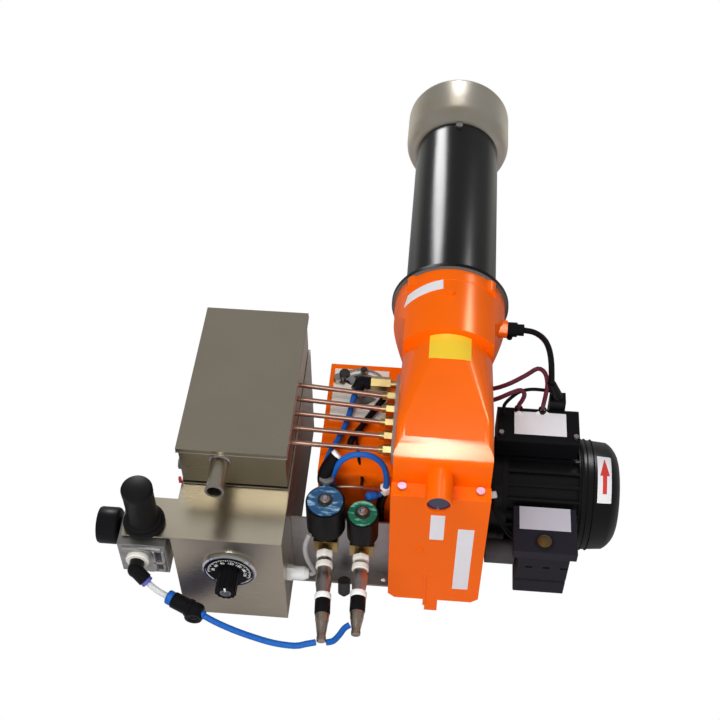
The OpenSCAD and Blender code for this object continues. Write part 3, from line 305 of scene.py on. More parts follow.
def make_materials(c):
    black, steel = tuple(c.black), tuple(c.steel)
    rows = {
        "orange_paint": (painted, tuple(c.paint), 0.22, 300, 0.04, 0.04, 0.2, (1, 0.75, 0.3)),
        "zinc": (metal, (0.60, 0.59, 0.57), 0.34, 200, 0.06, (0.40, 0.39, 0.36), 0.4),
        "sight_glass": (moulded, (0.006, 0.010, 0.05), 0.08, 900, 0.02, 1.0),
        "black_steel": (painted, black, 0.35, 260, 0.1, 0.1, 0.18),
        "gasket": (moulded, (0.12, 0.12, 0.11), 0.8, 900, 0.4),
        "black_satin": (painted, black, 0.22, 500, 0.03, 0.1, 0.35),
        "stainless": (spun, tuple(c.stainless)),
        "brass_gun": (metal, (0.58, 0.42, 0.18), 0.32),
        "brass": (metal, (0.60, 0.46, 0.20), 0.32, 300, 0.04, (0.36, 0.24, 0.10), 0.35),
        "white_ceramic": (moulded, (0.82, 0.81, 0.76), 0.15, 200, 0.05, 0.6, 0.04),
        "galvanised": (metal, (0.58, 0.58, 0.57), 0.38, 120, 0.2, (0.42, 0.42, 0.43), 0.6),
        "black_cast": (painted, black, 0.34, 700, 0.22, 0.1, 0.25),
        "copper": (metal, (0.62, 0.38, 0.29), 0.34, 300, 0.02, (0.42, 0.24, 0.17), 0.35),
        "steel": (metal, (0.50, 0.50, 0.51), 0.3),
        "black_plastic": (moulded, (0.005, 0.005, 0.006), 0.36, 1200, 0.08, 0, 0.12, 0.15),
        "dark_grey_plastic": (moulded, (0.012, 0.011, 0.015), 0.44, 1200, 0.08, 0, 0.12, 0.15),
        "blue_grey_plastic": (moulded, (0.017, 0.015, 0.023), 0.42, 1200, 0.08, 0, 0.12, 0.15),
        "amber": (moulded, (0.07, 0.04, 0.008), 0.3, 600, 0.02, 0.3),
        "grey_plastic": (moulded, (0.06, 0.056, 0.062), 0.4, 1200, 0.1),
        "black_rubber": (moulded, (0.005, 0.005, 0.006), 0.36, 700, 0.06, 0, 0.12, 0.15),
        "burgundy_rubber": (moulded, (0.10, 0.015, 0.03), 0.30, 700, 0.08),
        "cream_plastic": (moulded, (0.78, 0.75, 0.68), 0.3, 500, 0.06, 0.2, 0.05),
        "brushed_tank": (brushed, steel, 0.30, (0.03, 1, 1), 1400, 0.03, 0.05),
        "chrome": (metal, (0.80, 0.80, 0.80), 0.10, 200, 0.02, (0.62, 0.62, 0.62), 0.3),
        "white_plastic": (moulded, (0.86, 0.86, 0.84), 0.30, 900, 0.05, 0.2, 0.03),
        "white_rubber": (moulded, (0.34, 0.32, 0.32), 0.40, 900, 0.05, 0, 0.04),
        "bar_aluminium": (brushed, (0.80, 0.74, 0.72), 0.34, (0.05, 1, 1), 900, 0.12),
        "coloured_caps": (mottled, (0.012, 0.07, 0.17), (0.30, 0.52, 0.70)),
        "cast_zinc": (metal, (0.50, 0.50, 0.49), 0.42, 160, 0.35, (0.3, 0.3, 0.3), 0.6),
        "clear_plastic": (moulded, (0.62, 0.63, 0.64), 0.14, 300, 0.02, 0.5, 0.04, 0.6),
        "blue_plastic": (moulded, tuple(c.hose), 0.36, 600, 0.03, 0.0, 0.1, 0.3),
        "green_cap": (mottled, (0.003, 0.11, 0.055), (0.20, 0.62, 0.46), -0.5),
        "blue_collet": (moulded, (0.10, 0.10, 0.42), 0.26, 600, 0.04, 0.4),
        "white_label": (printed, (0.80, 0.79, 0.82)),
        "yellow_label": (printed, (0.92, 0.62, 0.03)),
        "arrow_red": (printed, (0.60, 0.04, 0.03)),
        "red_plastic": (moulded, (0.55, 0.03, 0.03), 0.35, 600, 0.05),
        "white_tie": (moulded, (0.82, 0.82, 0.80), 0.34, 600, 0.05),
        "pale_zinc": (metal, (0.86, 0.85, 0.82), 0.42, 200, 0.05, (0.62, 0.60, 0.55), 0.4),
        "dark_steel": (metal, (0.12, 0.12, 0.12), 0.4, 200, 0.1),
        "silver_label": (printed, (0.52, 0.51, 0.58)),
        "knob_black": (moulded, (0.006, 0.006, 0.006), 0.42, 900, 0.04, 0, 0.1, 0.15),
        "tip_metal": (metal, (0.52, 0.44, 0.36), 0.26, 500, 0.1, (0.22, 0.16, 0.12), 0.9),
    }
    for name, (finish, *values) in rows.items():
        MATERIALS[name] = finish(name, *values)


# Mesh helpers

def body_of(node):
    return frame["nodes"][node]["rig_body"]


def new_piece(name, mesh, slot, body=BURNER):
    piece = bpy.data.objects.new(name, mesh)
    bpy.context.scene.collection.objects.link(piece)
    mesh.materials.append(MATERIALS[slot])
    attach(piece, body)
    return piece


def sharp_edges(bm, angle):
    limit = math.radians(angle)
    return [edge for edge in bm.edges if len(edge.link_faces) == 2 and edge.calc_face_angle(0) > limit]


def mesh_of(bm, name, smooth=35, outward=True):
    """A mesh from bm, smooth except across edges sharper than the angle."""
    if outward:
        bmesh.ops.recalc_face_normals(bm, faces=bm.faces)
    for face in bm.faces:
        face.smooth = True
    for edge in sharp_edges(bm, smooth):
        edge.smooth = False
    mesh = bpy.data.meshes.new(name)
    bm.to_mesh(mesh)
    bm.free()
    return mesh


def bevel_sharp(bm, width):
    bmesh.ops.bevel(
        bm, geom=sharp_edges(bm, 35), offset=width, offset_type="OFFSET", affect="EDGES",
        segments=2, profile=0.5, material=-1, clamp_overlap=True,
    )


def dress(node, width=None, angle=32, drop=None, shape=None):
    """A merged copy of a CAD node with smooth faces and, where a width is given, rounded edges.

    drop names the places, in millimetres, that are left out, and shape moves the ones that stay."""
    bm = bmesh.new()
    bm.from_mesh(frame["nodes"][node].data)
    bmesh.ops.remove_doubles(bm, verts=bm.verts, dist=0.00001)
    if drop:
        bmesh.ops.delete(bm, geom=[vert for vert in bm.verts if drop(*(vert.co * 1000))], context="VERTS")
    if shape:
        for vert in bm.verts:
            vert.co = mm(*shape(*(vert.co * 1000)))
    bmesh.ops.dissolve_limit(
        bm, angle_limit=math.radians(0.4), verts=bm.verts, edges=bm.edges, delimit={"SHARP"}
    )
    name = "dressed_" + node
    piece = new_piece(name, mesh_of(bm, name, angle, outward=False), SLOT_OF[node], body_of(node))
    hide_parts(node)
    if width:
        bevel = piece.modifiers.new("edges", "BEVEL")
        bevel.width, bevel.segments, bevel.limit_method = width, 2, "ANGLE"
        bevel.angle_limit = math.radians(angle)
        bevel.use_clamp_overlap = True
        even = piece.modifiers.new("even", "WEIGHTED_NORMAL")
        even.keep_sharp = True
    return piece


TURN = {"x": Matrix.Rotation(math.pi / 2, 4, "Y"), "y": Matrix.Rotation(-math.pi / 2, 4, "X"), "z": Matrix()}


def along(axis, spot):
    """Takes a shape made about Z to an axis of the frame at a spot in millimetres."""
    return Matrix.Translation(mm(*spot)) @ TURN[axis]


def to_front(spot):
    """Takes a shape made about Z to a spot in millimetres, turned towards the front."""
    return along("y", spot) @ Matrix.Rotation(math.pi, 4, "X")


def block(bm, low, high, matrix=Matrix()):
    low, high = mm(*low), mm(*high)
    fit = Matrix.Translation((high + low) / 2) @ Matrix.Diagonal((*(high - low), 1))
    bmesh.ops.create_cube(bm, size=1, matrix=matrix @ fit)


def lathe(bm, outline, matrix, steps=64):
    """Spins an outline of (radius, height) pairs about Z; ends on the axis are closed."""
    verts = [bm.verts.new(mm(radius, 0, height)) for radius, height in outline]
    edges = [bm.edges.new(pair) for pair in zip(verts, verts[1:])]
    bmesh.ops.spin(
        bm, geom=verts + edges, cent=(0, 0, 0), axis=(0, 0, 1), angle=2 * math.pi,
        steps=steps, use_merge=True, use_duplicate=False,
    )
    bmesh.ops.remove_doubles(bm, verts=bm.verts, dist=0.000001)
    bmesh.ops.transform(bm, matrix=matrix, verts=bm.verts)


def spun_piece(name, outline, matrix, slot, body=BURNER, steps=64, smooth=35):
    bm = bmesh.new()
    lathe(bm, outline, matrix, steps)
    return new_piece(name, mesh_of(bm, name, smooth), slot, body)


def hexagon(name, radius, low, high, matrix, slot, chamfer=0.8):
    """A hexagon nut with turned corners."""
    bm = bmesh.new()
    bmesh.ops.create_cone(
        bm, cap_ends=True, cap_tris=False, segments=6, radius1=radius / 1000, radius2=radius / 1000,
        depth=(high - low) / 1000, matrix=matrix @ Matrix.Translation((0, 0, (low + high) / 2000)),
    )
    bevel_sharp(bm, chamfer / 1000)
    return new_piece(name, mesh_of(bm, name), slot)


def blocks(name, boxes, slot, width=0.0, body=BURNER):
    """Several boxes, given by their low and high corners, as one piece."""
    bm = bmesh.new()
    for low, high in boxes:
        block(bm, low, high)
    if width:
        bevel_sharp(bm, width / 1000)
    return new_piece(name, mesh_of(bm, name), slot, body)


def film(name, mesh, spot, slot, grid, lift=0.3):
    """A thin film laid on a mesh.

    spot gives a start, in millimetres, and a direction for u and v from 0 to 1."""
    corners = [vert.co for vert in mesh.vertices]
    tree = BVHTree.FromPolygons(corners, [face.vertices for face in mesh.polygons])
    bm = bmesh.new()
    layers = {}
    for j in range(grid[1] + 1):
        for i in range(grid[0] + 1):
            start, way = spot(i / grid[0], j / grid[1])
            way = Vector(way).normalized()
            hit = tree.ray_cast(mm(*start), way)[0]
            for k, rise in enumerate((lift, -0.2)):
                layers[i, j, k] = bm.verts.new(hit - way * rise / 1000)
    for j in range(grid[1]):
        for i in range(grid[0]):
            square = ((i, j), (i + 1, j), (i + 1, j + 1), (i, j + 1))
            for k in (0, 1):
                bm.faces.new([layers[(*corner, k)] for corner in square])
    around = [(i, 0) for i in range(grid[0])] + [(grid[0], j) for j in range(grid[1])]
    around += [(grid[0] - i, grid[1]) for i in range(grid[0])] + [(0, grid[1] - j) for j in range(grid[1])]
    for a, b in zip(around, around[1:] + around[:1]):
        bm.faces.new([layers[(*a, 0)], layers[(*b, 0)], layers[(*b, 1)], layers[(*a, 1)]])
    return new_piece(name, mesh_of(bm, name), slot)


def tube_run(name, points, radius, slot, per=4, ends=0.6):
    """A solid round run along the points, its ends turned in a little."""
    sides = 20
    spots = loft_route(points, per)
    last = len(spots) - 1
    ways = [(spots[min(i + 1, last)] - spots[max(i - 1, 0)]).normalized() for i in range(len(spots))]
    bm = bmesh.new()
    side = ways[0].orthogonal().normalized()
    rings = []
    stations = [(spots[0] - ways[0] * ends / 1000, ways[0], radius - ends)]
    stations += [(spot, way, radius) for spot, way in zip(spots, ways)]
    stations += [(spots[-1] + ways[-1] * ends / 1000, ways[-1], radius - ends)]
    turns = [2 * math.pi * k / sides for k in range(sides)]
    for spot, way, reach in stations:
        side = (side - way * side.dot(way)).normalized()
        other = way.cross(side)
        rings.append([
            bm.verts.new(spot + (side * math.cos(turn) + other * math.sin(turn)) * reach / 1000)
            for turn in turns
        ])
    for a, b in zip(rings, rings[1:]):
        for k in range(sides):
            bm.faces.new((a[k], a[(k + 1) % sides], b[(k + 1) % sides], b[k]))
    bm.faces.new(rings[0])
    bm.faces.new(rings[-1])
    return new_piece(name, mesh_of(bm, name, 50), slot)


def loft_route(points, per):
    """A smooth run through the route's points, with per steps from one to the next."""
    spots = [mm(*p) for p in points]
    ends = [2 * spots[0] - spots[1]] + spots + [2 * spots[-1] - spots[-2]]
    out = []
    for i in range(1, len(ends) - 2):
        a, b, c, d = ends[i - 1:i + 3]
        for k in range(per):
            t = k / per
            out.append(0.5 * (
                2 * b + (c - a) * t + (2 * a - 5 * b + 4 * c - d) * t * t
                + (3 * b - 3 * c + d - a) * t ** 3
            ))
    return out + [spots[-1]]


def cord_curve(name, points, diameter, slot):
    spots = loft_route(points, 3)
    curve = bpy.data.curves.new(name, "CURVE")
    curve.dimensions = "3D"
    curve.bevel_depth = diameter / 2000
    curve.bevel_resolution = 5
    curve.use_fill_caps = True
    spline = curve.splines.new("POLY")
    spline.points.add(len(spots) - 1)
    for point, spot in zip(spline.points, spots):
        point.co = (*spot, 1)
    spline.use_smooth = True
    piece = bpy.data.objects.new(name, curve)
    bpy.context.scene.collection.objects.link(piece)
    curve.materials.append(MATERIALS[slot])
    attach(piece, BURNER)
    reach = sum((b - a).length for a, b in zip(spots, spots[1:]))
    return piece, spots, reach


# Routes of the hoses and leads, as in the part's source

CLEAR_ROUTE = [
    (-275.4, -299.6, -93.3), (-269, -303.5, -96.8), (-261, -307.6, -99.2), (-250.3, -311.9, -100.9),
]
FRONT_ROUTE = [
    (-219, -324, -106), (-206, -329, -109), (-188, -334, -113), (-168, -338, -117), (-148, -341, -120),
    (-128, -343, -118.5), (-117, -342, -115), (-108.3, -340.5, -113.3),
]
LINK_ROUTE = [
    (-98.1, -340, -113), (-92, -337, -114.5), (-87, -330, -115.2), (-83, -323, -114.8),
    (-78, -319.5, -113.5),
]
REAR_A = [
    (-90.5, -95.5, -35.5), (-93, -103, -39), (-95, -118, -42), (-98, -135, -42), (-103, -153, -41),
    (-109, -170, -40), (-113, -185, -42), (-114.5, -194, -49), (-114.5, -198.5, -62), (-114.5, -199, -77),
    (-114.5, -199, -91.7),
]
REAR_B = [
    (-104.5, -199, -91.7), (-105.5, -199, -72), (-105.5, -198, -50), (-101, -196, -31), (-92, -194, -18),
    (-80, -193, -13), (-67, -193, -15), (-56.5, -194, -26), (-52.5, -196, -44), (-54, -198, -66),
    (-57.5, -199, -82), (-58.5, -199, -91.7),
]
PHOTO_ROUTE = [
    (76, -40, 10.5), (85, -42, 11), (92, -48, 12.5), (96.5, -56, 14.5), (99, -64, 16), (100.5, -71, 16.5),
    (101.8, -79, 15.2), (102.8, -86, 11.4), (103.6, -91, 5), (104.4, -93.5, -2), (105, -93.9, -6),
]
LEAD_A = [
    (45, -92, -24), (54, -92, -20), (66, -90, -14), (80, -84, -8), (91, -78, -4), (98, -84, -3),
    (101, -93, -9), (100, -101, -18), (99, -104, -29), (99, -104, -38),
]
LEAD_B = [
    (45, -104, -28), (54, -103, -24), (66, -100, -18), (75, -97.5, -16), (79, -100.5, -18.5),
    (77.5, -103.2, -24.5), (75, -104, -31), (75, -104, -38),
]
LOOP_ROUTE = [
    (60, -110, -39), (60, -106, -31), (66, -101, -25), (75, -96, -20), (86, -93, -19), (97, -92.5, -19.5),
    (108.1, -93.5, -19.5),
]
MOTOR_ROUTE = [
    (52.6, -137.6, -58), (50.4, -141, -57), (49.5, -150, -56), (49.5, -168, -57), (50, -184, -60),
    (51, -196, -65), (55, -206, -74), (63, -213, -86), (71, -217, -97), (79.7, -219, -103),
]
HEATER_ROUTE = [
    (-125, -254, -135), (-121, -254.2, -133.5), (-119.6, -254.5, -128), (-122.5, -255, -117),
    (-126.5, -254, -104), (-128, -250, -94), (-126.5, -246, -87), (-124, -242.6, -81),
]


# The camera of the photo: its place in millimetres, and its fall, turn and roll in degrees
CAMERA_PLACE = (-18.54, -884.0, 909.7)
CAMERA_FALL, CAMERA_TURN, CAMERA_ROLL = 48.583, 4.944, -0.207
FLOOR_LEVEL = -0.2
# Level of the white surroundings, for all rays but the camera's
SURROUNDINGS = 0.30

# Lamps: name, place, aim, width and length in metres, and watts
LAMPS = (
    ("key", (-0.5, -0.5, 1.5), (0, 0, -0.08), (1.0, 1.0), 16),
    ("fill", (1.2, -0.9, 0.9), (0, 0, -0.08), (1.1, 1.1), 5.5),
    ("front", (-0.4, -1.6, 0.5), (0, 0, -0.08), (0.9, 0.9), 10.5),
    ("tube_strip", (-0.68, 1.26, 0.70), (0, 0.12, 0), (0.36, 0.6), 13),
    ("corner_strip", (0.45, 0.48, 0.59), (0, -0.1, 0.03), (0.2, 0.2), 5),
    ("bend_strip", (0.0, -0.575, 0.646), (0, -0.225, 0.04), (0.11, 2.3), 190),
    ("metal_strip", (-0.25, -0.75, 1.1), (0, -0.1, 0), (0.5, 0.5), 3.2),
    ("plate_strip", (-0.25, 0.72, 0.95), (-0.12, -0.1, -0.05), (0.8, 0.7), 1.1),
    ("head_strip", (-0.05, 1.6, 0.62), (0, 0.4, 0), (0.35, 0.5), 3),
)
# The bend's lamp is blue, because the paint's own gloss is orange and the highlight is white
LAMP_TONES = {"bend_strip": (0.42, 0.50, 1.0)}
# A strip is only mirrored, and only by these pieces; the other lamps give the even light
MIRRORING = {
    "tube_strip": ("dressed_blast_tube", "dressed_tube_flange", "knob", "gauge", "dressed_valve_coils"),
    "corner_strip": ("dressed_blast_tube", "dressed_housing", "dressed_fan_cover", "dressed_motor_shell"),
    "bend_strip": ("dressed_housing",),
    "plate_strip": ("dressed_damper_plate", "dressed_heater_box"),
    "head_strip": ("dressed_flame_head",),
    "metal_strip": (
        "dressed_oil_pipes", "dressed_pipe_nuts", "dressed_manifold_bar", "dressed_valve_bodies",
        "dressed_regulator_body", "body_ribs", "bezel", "side_pipe", "dressed_tank",
        "cap_nut_a", "cap_nut_b", "outlet_nut_a", "outlet_nut_b", "outlet_tip_a", "outlet_tip_b",
    ),
}


# Operators, one for each group of pieces

class BURNER_OT_stage(bpy.types.Operator):
    """Camera, lamps, pale floor and backdrop"""
    bl_idname = "burner.stage"
    bl_label = "Stage"

    def execute(self, context):
        scene = context.scene
        camera = bpy.data.cameras.new("camera")
        camera.lens, camera.sensor_width = scene.burner_sizes.lens, 36
        camera.clip_start, camera.clip_end = 0.05, 20
        eye = bpy.data.objects.new("camera", camera)
        scene.collection.objects.link(eye)
        up, side, roll = (math.radians(angle) for angle in (CAMERA_FALL, CAMERA_TURN, CAMERA_ROLL))
        forward = Vector((-math.sin(side) * math.cos(up), math.cos(side) * math.cos(up), -math.sin(up)))
        right = forward.cross(Vector((0, 0, 1))).normalized()
        high = right.cross(forward)
        right, high = (
            right * math.cos(roll) + high * math.sin(roll),
            high * math.cos(roll) - right * math.sin(roll),
        )
        turn = Matrix((right, high, -forward)).transposed().to_4x4()
        eye.matrix_world = Matrix.Translation(mm(*CAMERA_PLACE)) @ turn
        scene.camera = eye

        for name, spot, aim, size, power in LAMPS:
            strip = name in MIRRORING
            lamp = bpy.data.lights.new(name, "AREA")
            lamp.shape, lamp.energy = "RECTANGLE", power
            lamp.size, lamp.size_y = size
            lamp.color = LAMP_TONES.get(name, (1, 1, 1))
            obj = bpy.data.objects.new(name, lamp)
            obj.location = spot
            obj.visible_diffuse, obj.visible_glossy = not strip, strip
            obj.rotation_euler = (Vector(aim) - Vector(spot)).to_track_quat("-Z", "Y").to_euler()
            scene.collection.objects.link(obj)
            if strip:
                obj.light_linking.receiver_collection = bpy.data.collections.new("mirrors_" + name)

        world = bpy.data.worlds.new("studio")
        scene.world = world
        world.use_nodes = True
        tree = world.node_tree
        ground = tree.nodes["Background"]
        rays = tree.nodes.new("ShaderNodeLightPath")
        seen = tree.nodes.new("ShaderNodeMath")
        seen.operation = "MAXIMUM"
        tree.links.new(rays.outputs["Is Camera Ray"], seen.inputs[0])
        tree.links.new(rays.outputs["Is Transmission Ray"], seen.inputs[1])
        level = tree.nodes.new("ShaderNodeMapRange")
        level.inputs["To Min"].default_value = SURROUNDINGS
        level.inputs["To Max"].default_value = 1.0
        tree.links.new(seen.outputs[0], level.inputs["Value"])
        tree.links.new(level.outputs[0], ground.inputs["Strength"])
        ground.inputs["Color"].default_value = (1, 1, 1, 1)

        bm = bmesh.new()
        bmesh.ops.create_grid(
            bm, x_segments=1, y_segments=1, size=3, matrix=Matrix.Translation((0, 0, FLOOR_LEVEL))
        )
        mesh = bpy.data.meshes.new("floor")
        bm.to_mesh(mesh)
        bm.free()
        floor = bpy.data.objects.new("floor", mesh)
        scene.collection.objects.link(floor)
        g = Graph("pale_floor")
        x, y, _ = (g.node("ShaderNodeSeparateXYZ", None, {0: g.place()})[k] for k in range(3))
        # The floor's tone shows only in reflections and bounce light, as the camera sees white. It is darker
        # round the burner, and the dark blue stripe in front of the lower box is a painted reflection for
        # that box's front to mirror.
        bright = g.mix(y.step(0.30, 0.60), (0.46, 0.44, 0.46), (0.95, 0.94, 0.90))
        slant = x * 0.9 + y + 0.55
        painted_reflection_stripe = slant.step(-0.03, 0.0) * (1 - slant.step(0.03, 0.06))
        near = painted_reflection_stripe * (1 - y.step(-0.30, -0.27)) * (1 - x.step(-0.20, -0.17))
        g.set(Base_Color=g.mix(near, bright, (0.01, 0.015, 0.06)), Roughness=0.9)
        seen = g.node("ShaderNodeLightPath")
        white = g.node("ShaderNodeEmission", None, {"Color": (1, 1, 1), "Strength": 1.0})[0]
        blend = g.node("ShaderNodeMixShader", None, {0: seen["Is Camera Ray"], 2: white})
        g.tree.links.new(g.shader.outputs[0], blend.all[0].node.inputs[1])
        g.tree.links.new(blend.all[0], g.tree.nodes["Material Output"].inputs[0])
        mesh.materials.append(g.material)
        scene.view_settings.view_transform = "Standard"
        return {"FINISHED"}


class BURNER_OT_finishes(bpy.types.Operator):
    """Materials of all the slots, set on the CAD nodes"""
    bl_idname = "burner.finishes"
    bl_label = "Finishes"

    def execute(self, context):
        make_materials(context.scene.burner_colours)
        for node, obj in frame["nodes"].items():
            obj.data.materials.clear()
            obj.data.materials.append(MATERIALS[SLOT_OF[node]])
        return {"FINISHED"}


class BURNER_OT_cords(bpy.types.Operator):
    """Hoses, cables and leads along their routes"""
    bl_idname = "burner.cords"
    bl_label = "Hoses and leads"

    def execute(self, context):
        rows = (
            ("photocell_lead", PHOTO_ROUTE, 6, "black_rubber", "photocell_cable", "medium"),
            ("ignition_lead_a", LEAD_A, 4.6, "burgundy_rubber", "ignition_leads", "medium"),
            ("ignition_lead_b", LEAD_B, 4.6, "burgundy_rubber", "ignition_leads", "medium"),
            ("transformer_lead", LOOP_ROUTE, 3.6, "black_rubber", "transformer_cable", "medium"),
            ("motor_lead_a", MOTOR_ROUTE, 3.2, "black_rubber", "motor_leads", "medium"),
            ("motor_lead_b", [(x, y + 2.4, z + 3) for x, y, z in MOTOR_ROUTE], 3.2, "black_rubber",
             "motor_leads", "medium"),
            ("heater_lead", HEATER_ROUTE, 5, "white_rubber", "heater_cable", "medium"),
            ("air_hose_front", FRONT_ROUTE, 6, "blue_plastic", "hose_front", "stiff"),
            ("air_hose_link", LINK_ROUTE, 6, "blue_plastic", "hose_front", None),
            ("air_hose_a", REAR_A, 6, "blue_plastic", "hose_rear", "stiff"),
            ("air_hose_b", REAR_B, 6, "blue_plastic", "hose_rear", "stiff"),
            ("clear_air_tube", CLEAR_ROUTE, 6, "clear_plastic", "clear_tube", None),
        )
        for name, route, diameter, slot, node, stiffness in rows:
            piece, spots, reach = cord_curve(name, route, diameter, slot)
            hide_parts(node)
        return {"FINISHED"}


class BURNER_OT_castings(bpy.types.Operator):
    """Painted castings with rounded edges"""
    bl_idname = "burner.castings"
    bl_label = "Castings"

    def execute(self, context):
        edge = context.scene.burner_sizes.edge
        dress("housing", edge, 38)
        dress("rear_cover", edge)
        dress("intake_housing", edge)
        return {"FINISHED"}


class BURNER_OT_plain(bpy.types.Operator):
    """Machined, moulded and sheet pieces with fine edges"""
    bl_idname = "burner.plain"
    bl_label = "Plain pieces"

    def execute(self, context):
        fine = context.scene.burner_sizes.fine_edge
        for node in (
            "blast_tube", "flame_head", "tube_flange", "flange_gasket", "motor_adapter", "motor_shell",
            "sight_glass", "photocell", "float", "heater_element", "valve_coils", "oil_pipes",
            "diffuser", "impeller", "thermostat_knob", "pipe_nuts",
        ):
            dress(node)
        for node in (
            "tank", "tank_lid", "heater_box", "support_frame", "manifold_bar", "damper_plate",
            "damper_arm", "control_base", "control_unit", "capacitor", "regulator_body", "thermostat_body",
            "cable_gland", "valve_bodies",
        ):
            dress(node, fine)
        return {"FINISHED"}


class BURNER_OT_labels(bpy.types.Operator):
    """Bare label films on the housing, the covers, the transformer and the control"""
    bl_idname = "burner.labels"
    bl_label = "Labels"

    def execute(self, context):
        def collar(u, v):
            turn = math.radians((-49.7 + 40.6 * u) * (1 - v) + (-54.9 + 46.4 * u) * v)
            y = (-26.2 + 6.2 * u) * (1 - v) + (-39.5 + 6.9 * u) * v
            out = (math.sin(turn), 0, math.cos(turn))
            return (120 * out[0], y, 120 * out[2]), (-out[0], 0, -out[2])

        def over(x0, x1, y0, y1):
            return lambda u, v: ((x0 + (x1 - x0) * u, y0 + (y1 - y0) * v, 120), (0, 0, -1))

        def ahead(x0, x1, z0, z1):
            return lambda u, v: ((x0 + (x1 - x0) * u, -300, z0 + (z1 - z0) * v), (0, 1, 0))

        rows = (
            ("collar_label", "housing", collar, "white_label"),
            ("top_label", "housing", over(-18.8, 21.7, -120, -88), "yellow_label"),
            ("cover_label", "rear_cover", ahead(-7.8, 5.6, -65, -24.5), "white_label"),
            ("long_label", "rear_cover", ahead(18.6, 34, -152, -45), "white_label"),
            ("transformer_label", "ignition_transformer", over(71, 123, -134.5, -105.5), "white_label"),
            ("control_label", "control_unit", over(80, 130, -218, -191.5), "silver_label"),
        )
        for name, node, spot, slot in rows:
            film(name, frame["nodes"][node].data, spot, slot, (12, 12))
        return {"FINISHED"}


# The motor's axis, and where the fan cover starts along it, its depth and the depth that the photo shows
MOTOR = (0, -144, -122)
COVER_START, COVER_DEPTH, SEEN_DEPTH = 141, 47, 40.5


class BURNER_OT_motor(bpy.types.Operator):
    """Fan cover with its seams and arrow, transformer with its boot, screws, button and tie"""
    bl_idname = "burner.motor"
    bl_label = "Motor side"

    def execute(self, context):
        fine = context.scene.burner_sizes.fine_edge

        def shorter(x, y, z):
            far = max(0, x - COVER_START)
            reach = math.hypot(y - MOTOR[1], z - MOTOR[2])
            squeeze = 1 - 0.05 * min(1, far / COVER_DEPTH)
            if reach > 34:
                squeeze -= 0.10 * max(0, far - 32) / (COVER_DEPTH - 32)
            if x > COVER_START:
                x = COVER_START + far * SEEN_DEPTH / COVER_DEPTH
            return x, MOTOR[1] + (y - MOTOR[1]) * squeeze, MOTOR[2] + (z - MOTOR[2]) * squeeze

        cover = dress("fan_cover", shape=shorter)
        axis = along("x", MOTOR)
        seams = ((141.4, 57.6, 2.2), (146.5, 57.5, 1.0), (153.0, 57.2, 0.8))
        for k, (x, radius, width) in enumerate(seams):
            spun_piece("cover_seam_%d" % k, [
                (radius - 2, x), (radius, x), (radius + 0.25, x + width / 3),
                (radius + 0.25, x + width * 2 / 3), (radius, x + width), (radius - 2, x + width),
                (radius - 2, x),
            ], axis, "black_cast", steps=96)

        def round_cover(x, turn):
            turn = math.radians(turn)
            way = (0, math.sin(turn), math.cos(turn))
            return (x, MOTOR[1] + 90 * way[1], MOTOR[2] + 90 * way[2]), (0, -way[1], -way[2])

        def label(u, v):
            return round_cover(156.5 + 14 * u, 8.6 - 52.1 * v)

        def shaft(u, v):
            return round_cover(161.6 + 4.2 * u, -14.5 - 19.5 * v)

        def head(u, v):
            return round_cover(163.7 + (u - 0.5) * (0.3 + 9.4 * v), 4.5 - 19.5 * v)

        film("arrow_label", cover.data, label, "white_label", (6, 24), 0.35)
        film("arrow_shaft", cover.data, shaft, "arrow_red", (3, 10), 0.5)
        film("arrow_head", cover.data, head, "arrow_red", (4, 10), 0.5)

        def leaning(x, y, z):
            return (x - max(0, z + 28) * 0.42 if x > 100 and z > -28 else x), y, z

        dress("ignition_transformer", fine, shape=leaning)

        def smaller(x, y, z):
            for cx, cy in ((58, -135), (132, -135)):
                if z > -60 and math.hypot(x - cx, y - cy) < 9:
                    return cx + (x - cx) * 0.62, cy + (y - cy) * 0.62, z
            return x, y, z

        dress("fixing_screws", shape=smaller)
        button = along("z", (104, -232, -83))
        spun_piece("button_ring", [
            (7.2, 0.02), (9.6, 0.02), (9.6, 0.7), (9.1, 1.1), (7.6, 1.1), (7.2, 0.7), (7.2, 0.02),
        ], button, "dark_grey_plastic")
        spun_piece("button_dome", [
            (0, -2), (6.3, -2), (6.3, 2.2), (5.8, 3.4), (4.4, 4.6), (2.4, 5.3), (0, 5.6),
        ], button, "amber", body_of("reset_button"))
        tube_run("lead_tie", [(50.2, -192.6, -61.5), (51.6, -197.2, -64.2)], 5.2, "white_tie")
        blocks("tie_head", [((45.2, -198.5, -60.5), (49.6, -193.5, -56.5))], "white_tie", 0.6)
        spun_piece("photocell_screw", [(0, 0), (3, 0), (3, 3), (2.6, 3.4), (1, 3.4), (0.8, 2.6), (0, 2.6)],
                   along("z", (62, -44.5, 2.5)), "black_plastic")
        return {"FINISHED"}


# The middles of the two valves
VALVE_A = (-109.5, -226)
VALVE_B = (-73.3, -228)


def outlet_frame(valve, lean):
    """The outlet's own frame: Z runs out of the valve."""
    turn = Matrix.Rotation(math.radians(lean), 4, "Z") @ Matrix.Rotation(math.radians(3), 4, "X")
    outward = Matrix.Rotation(math.pi, 4, "Z") @ TURN["y"]
    return Matrix.Translation(mm(valve[0], valve[1] - 18, -108)) @ turn @ outward


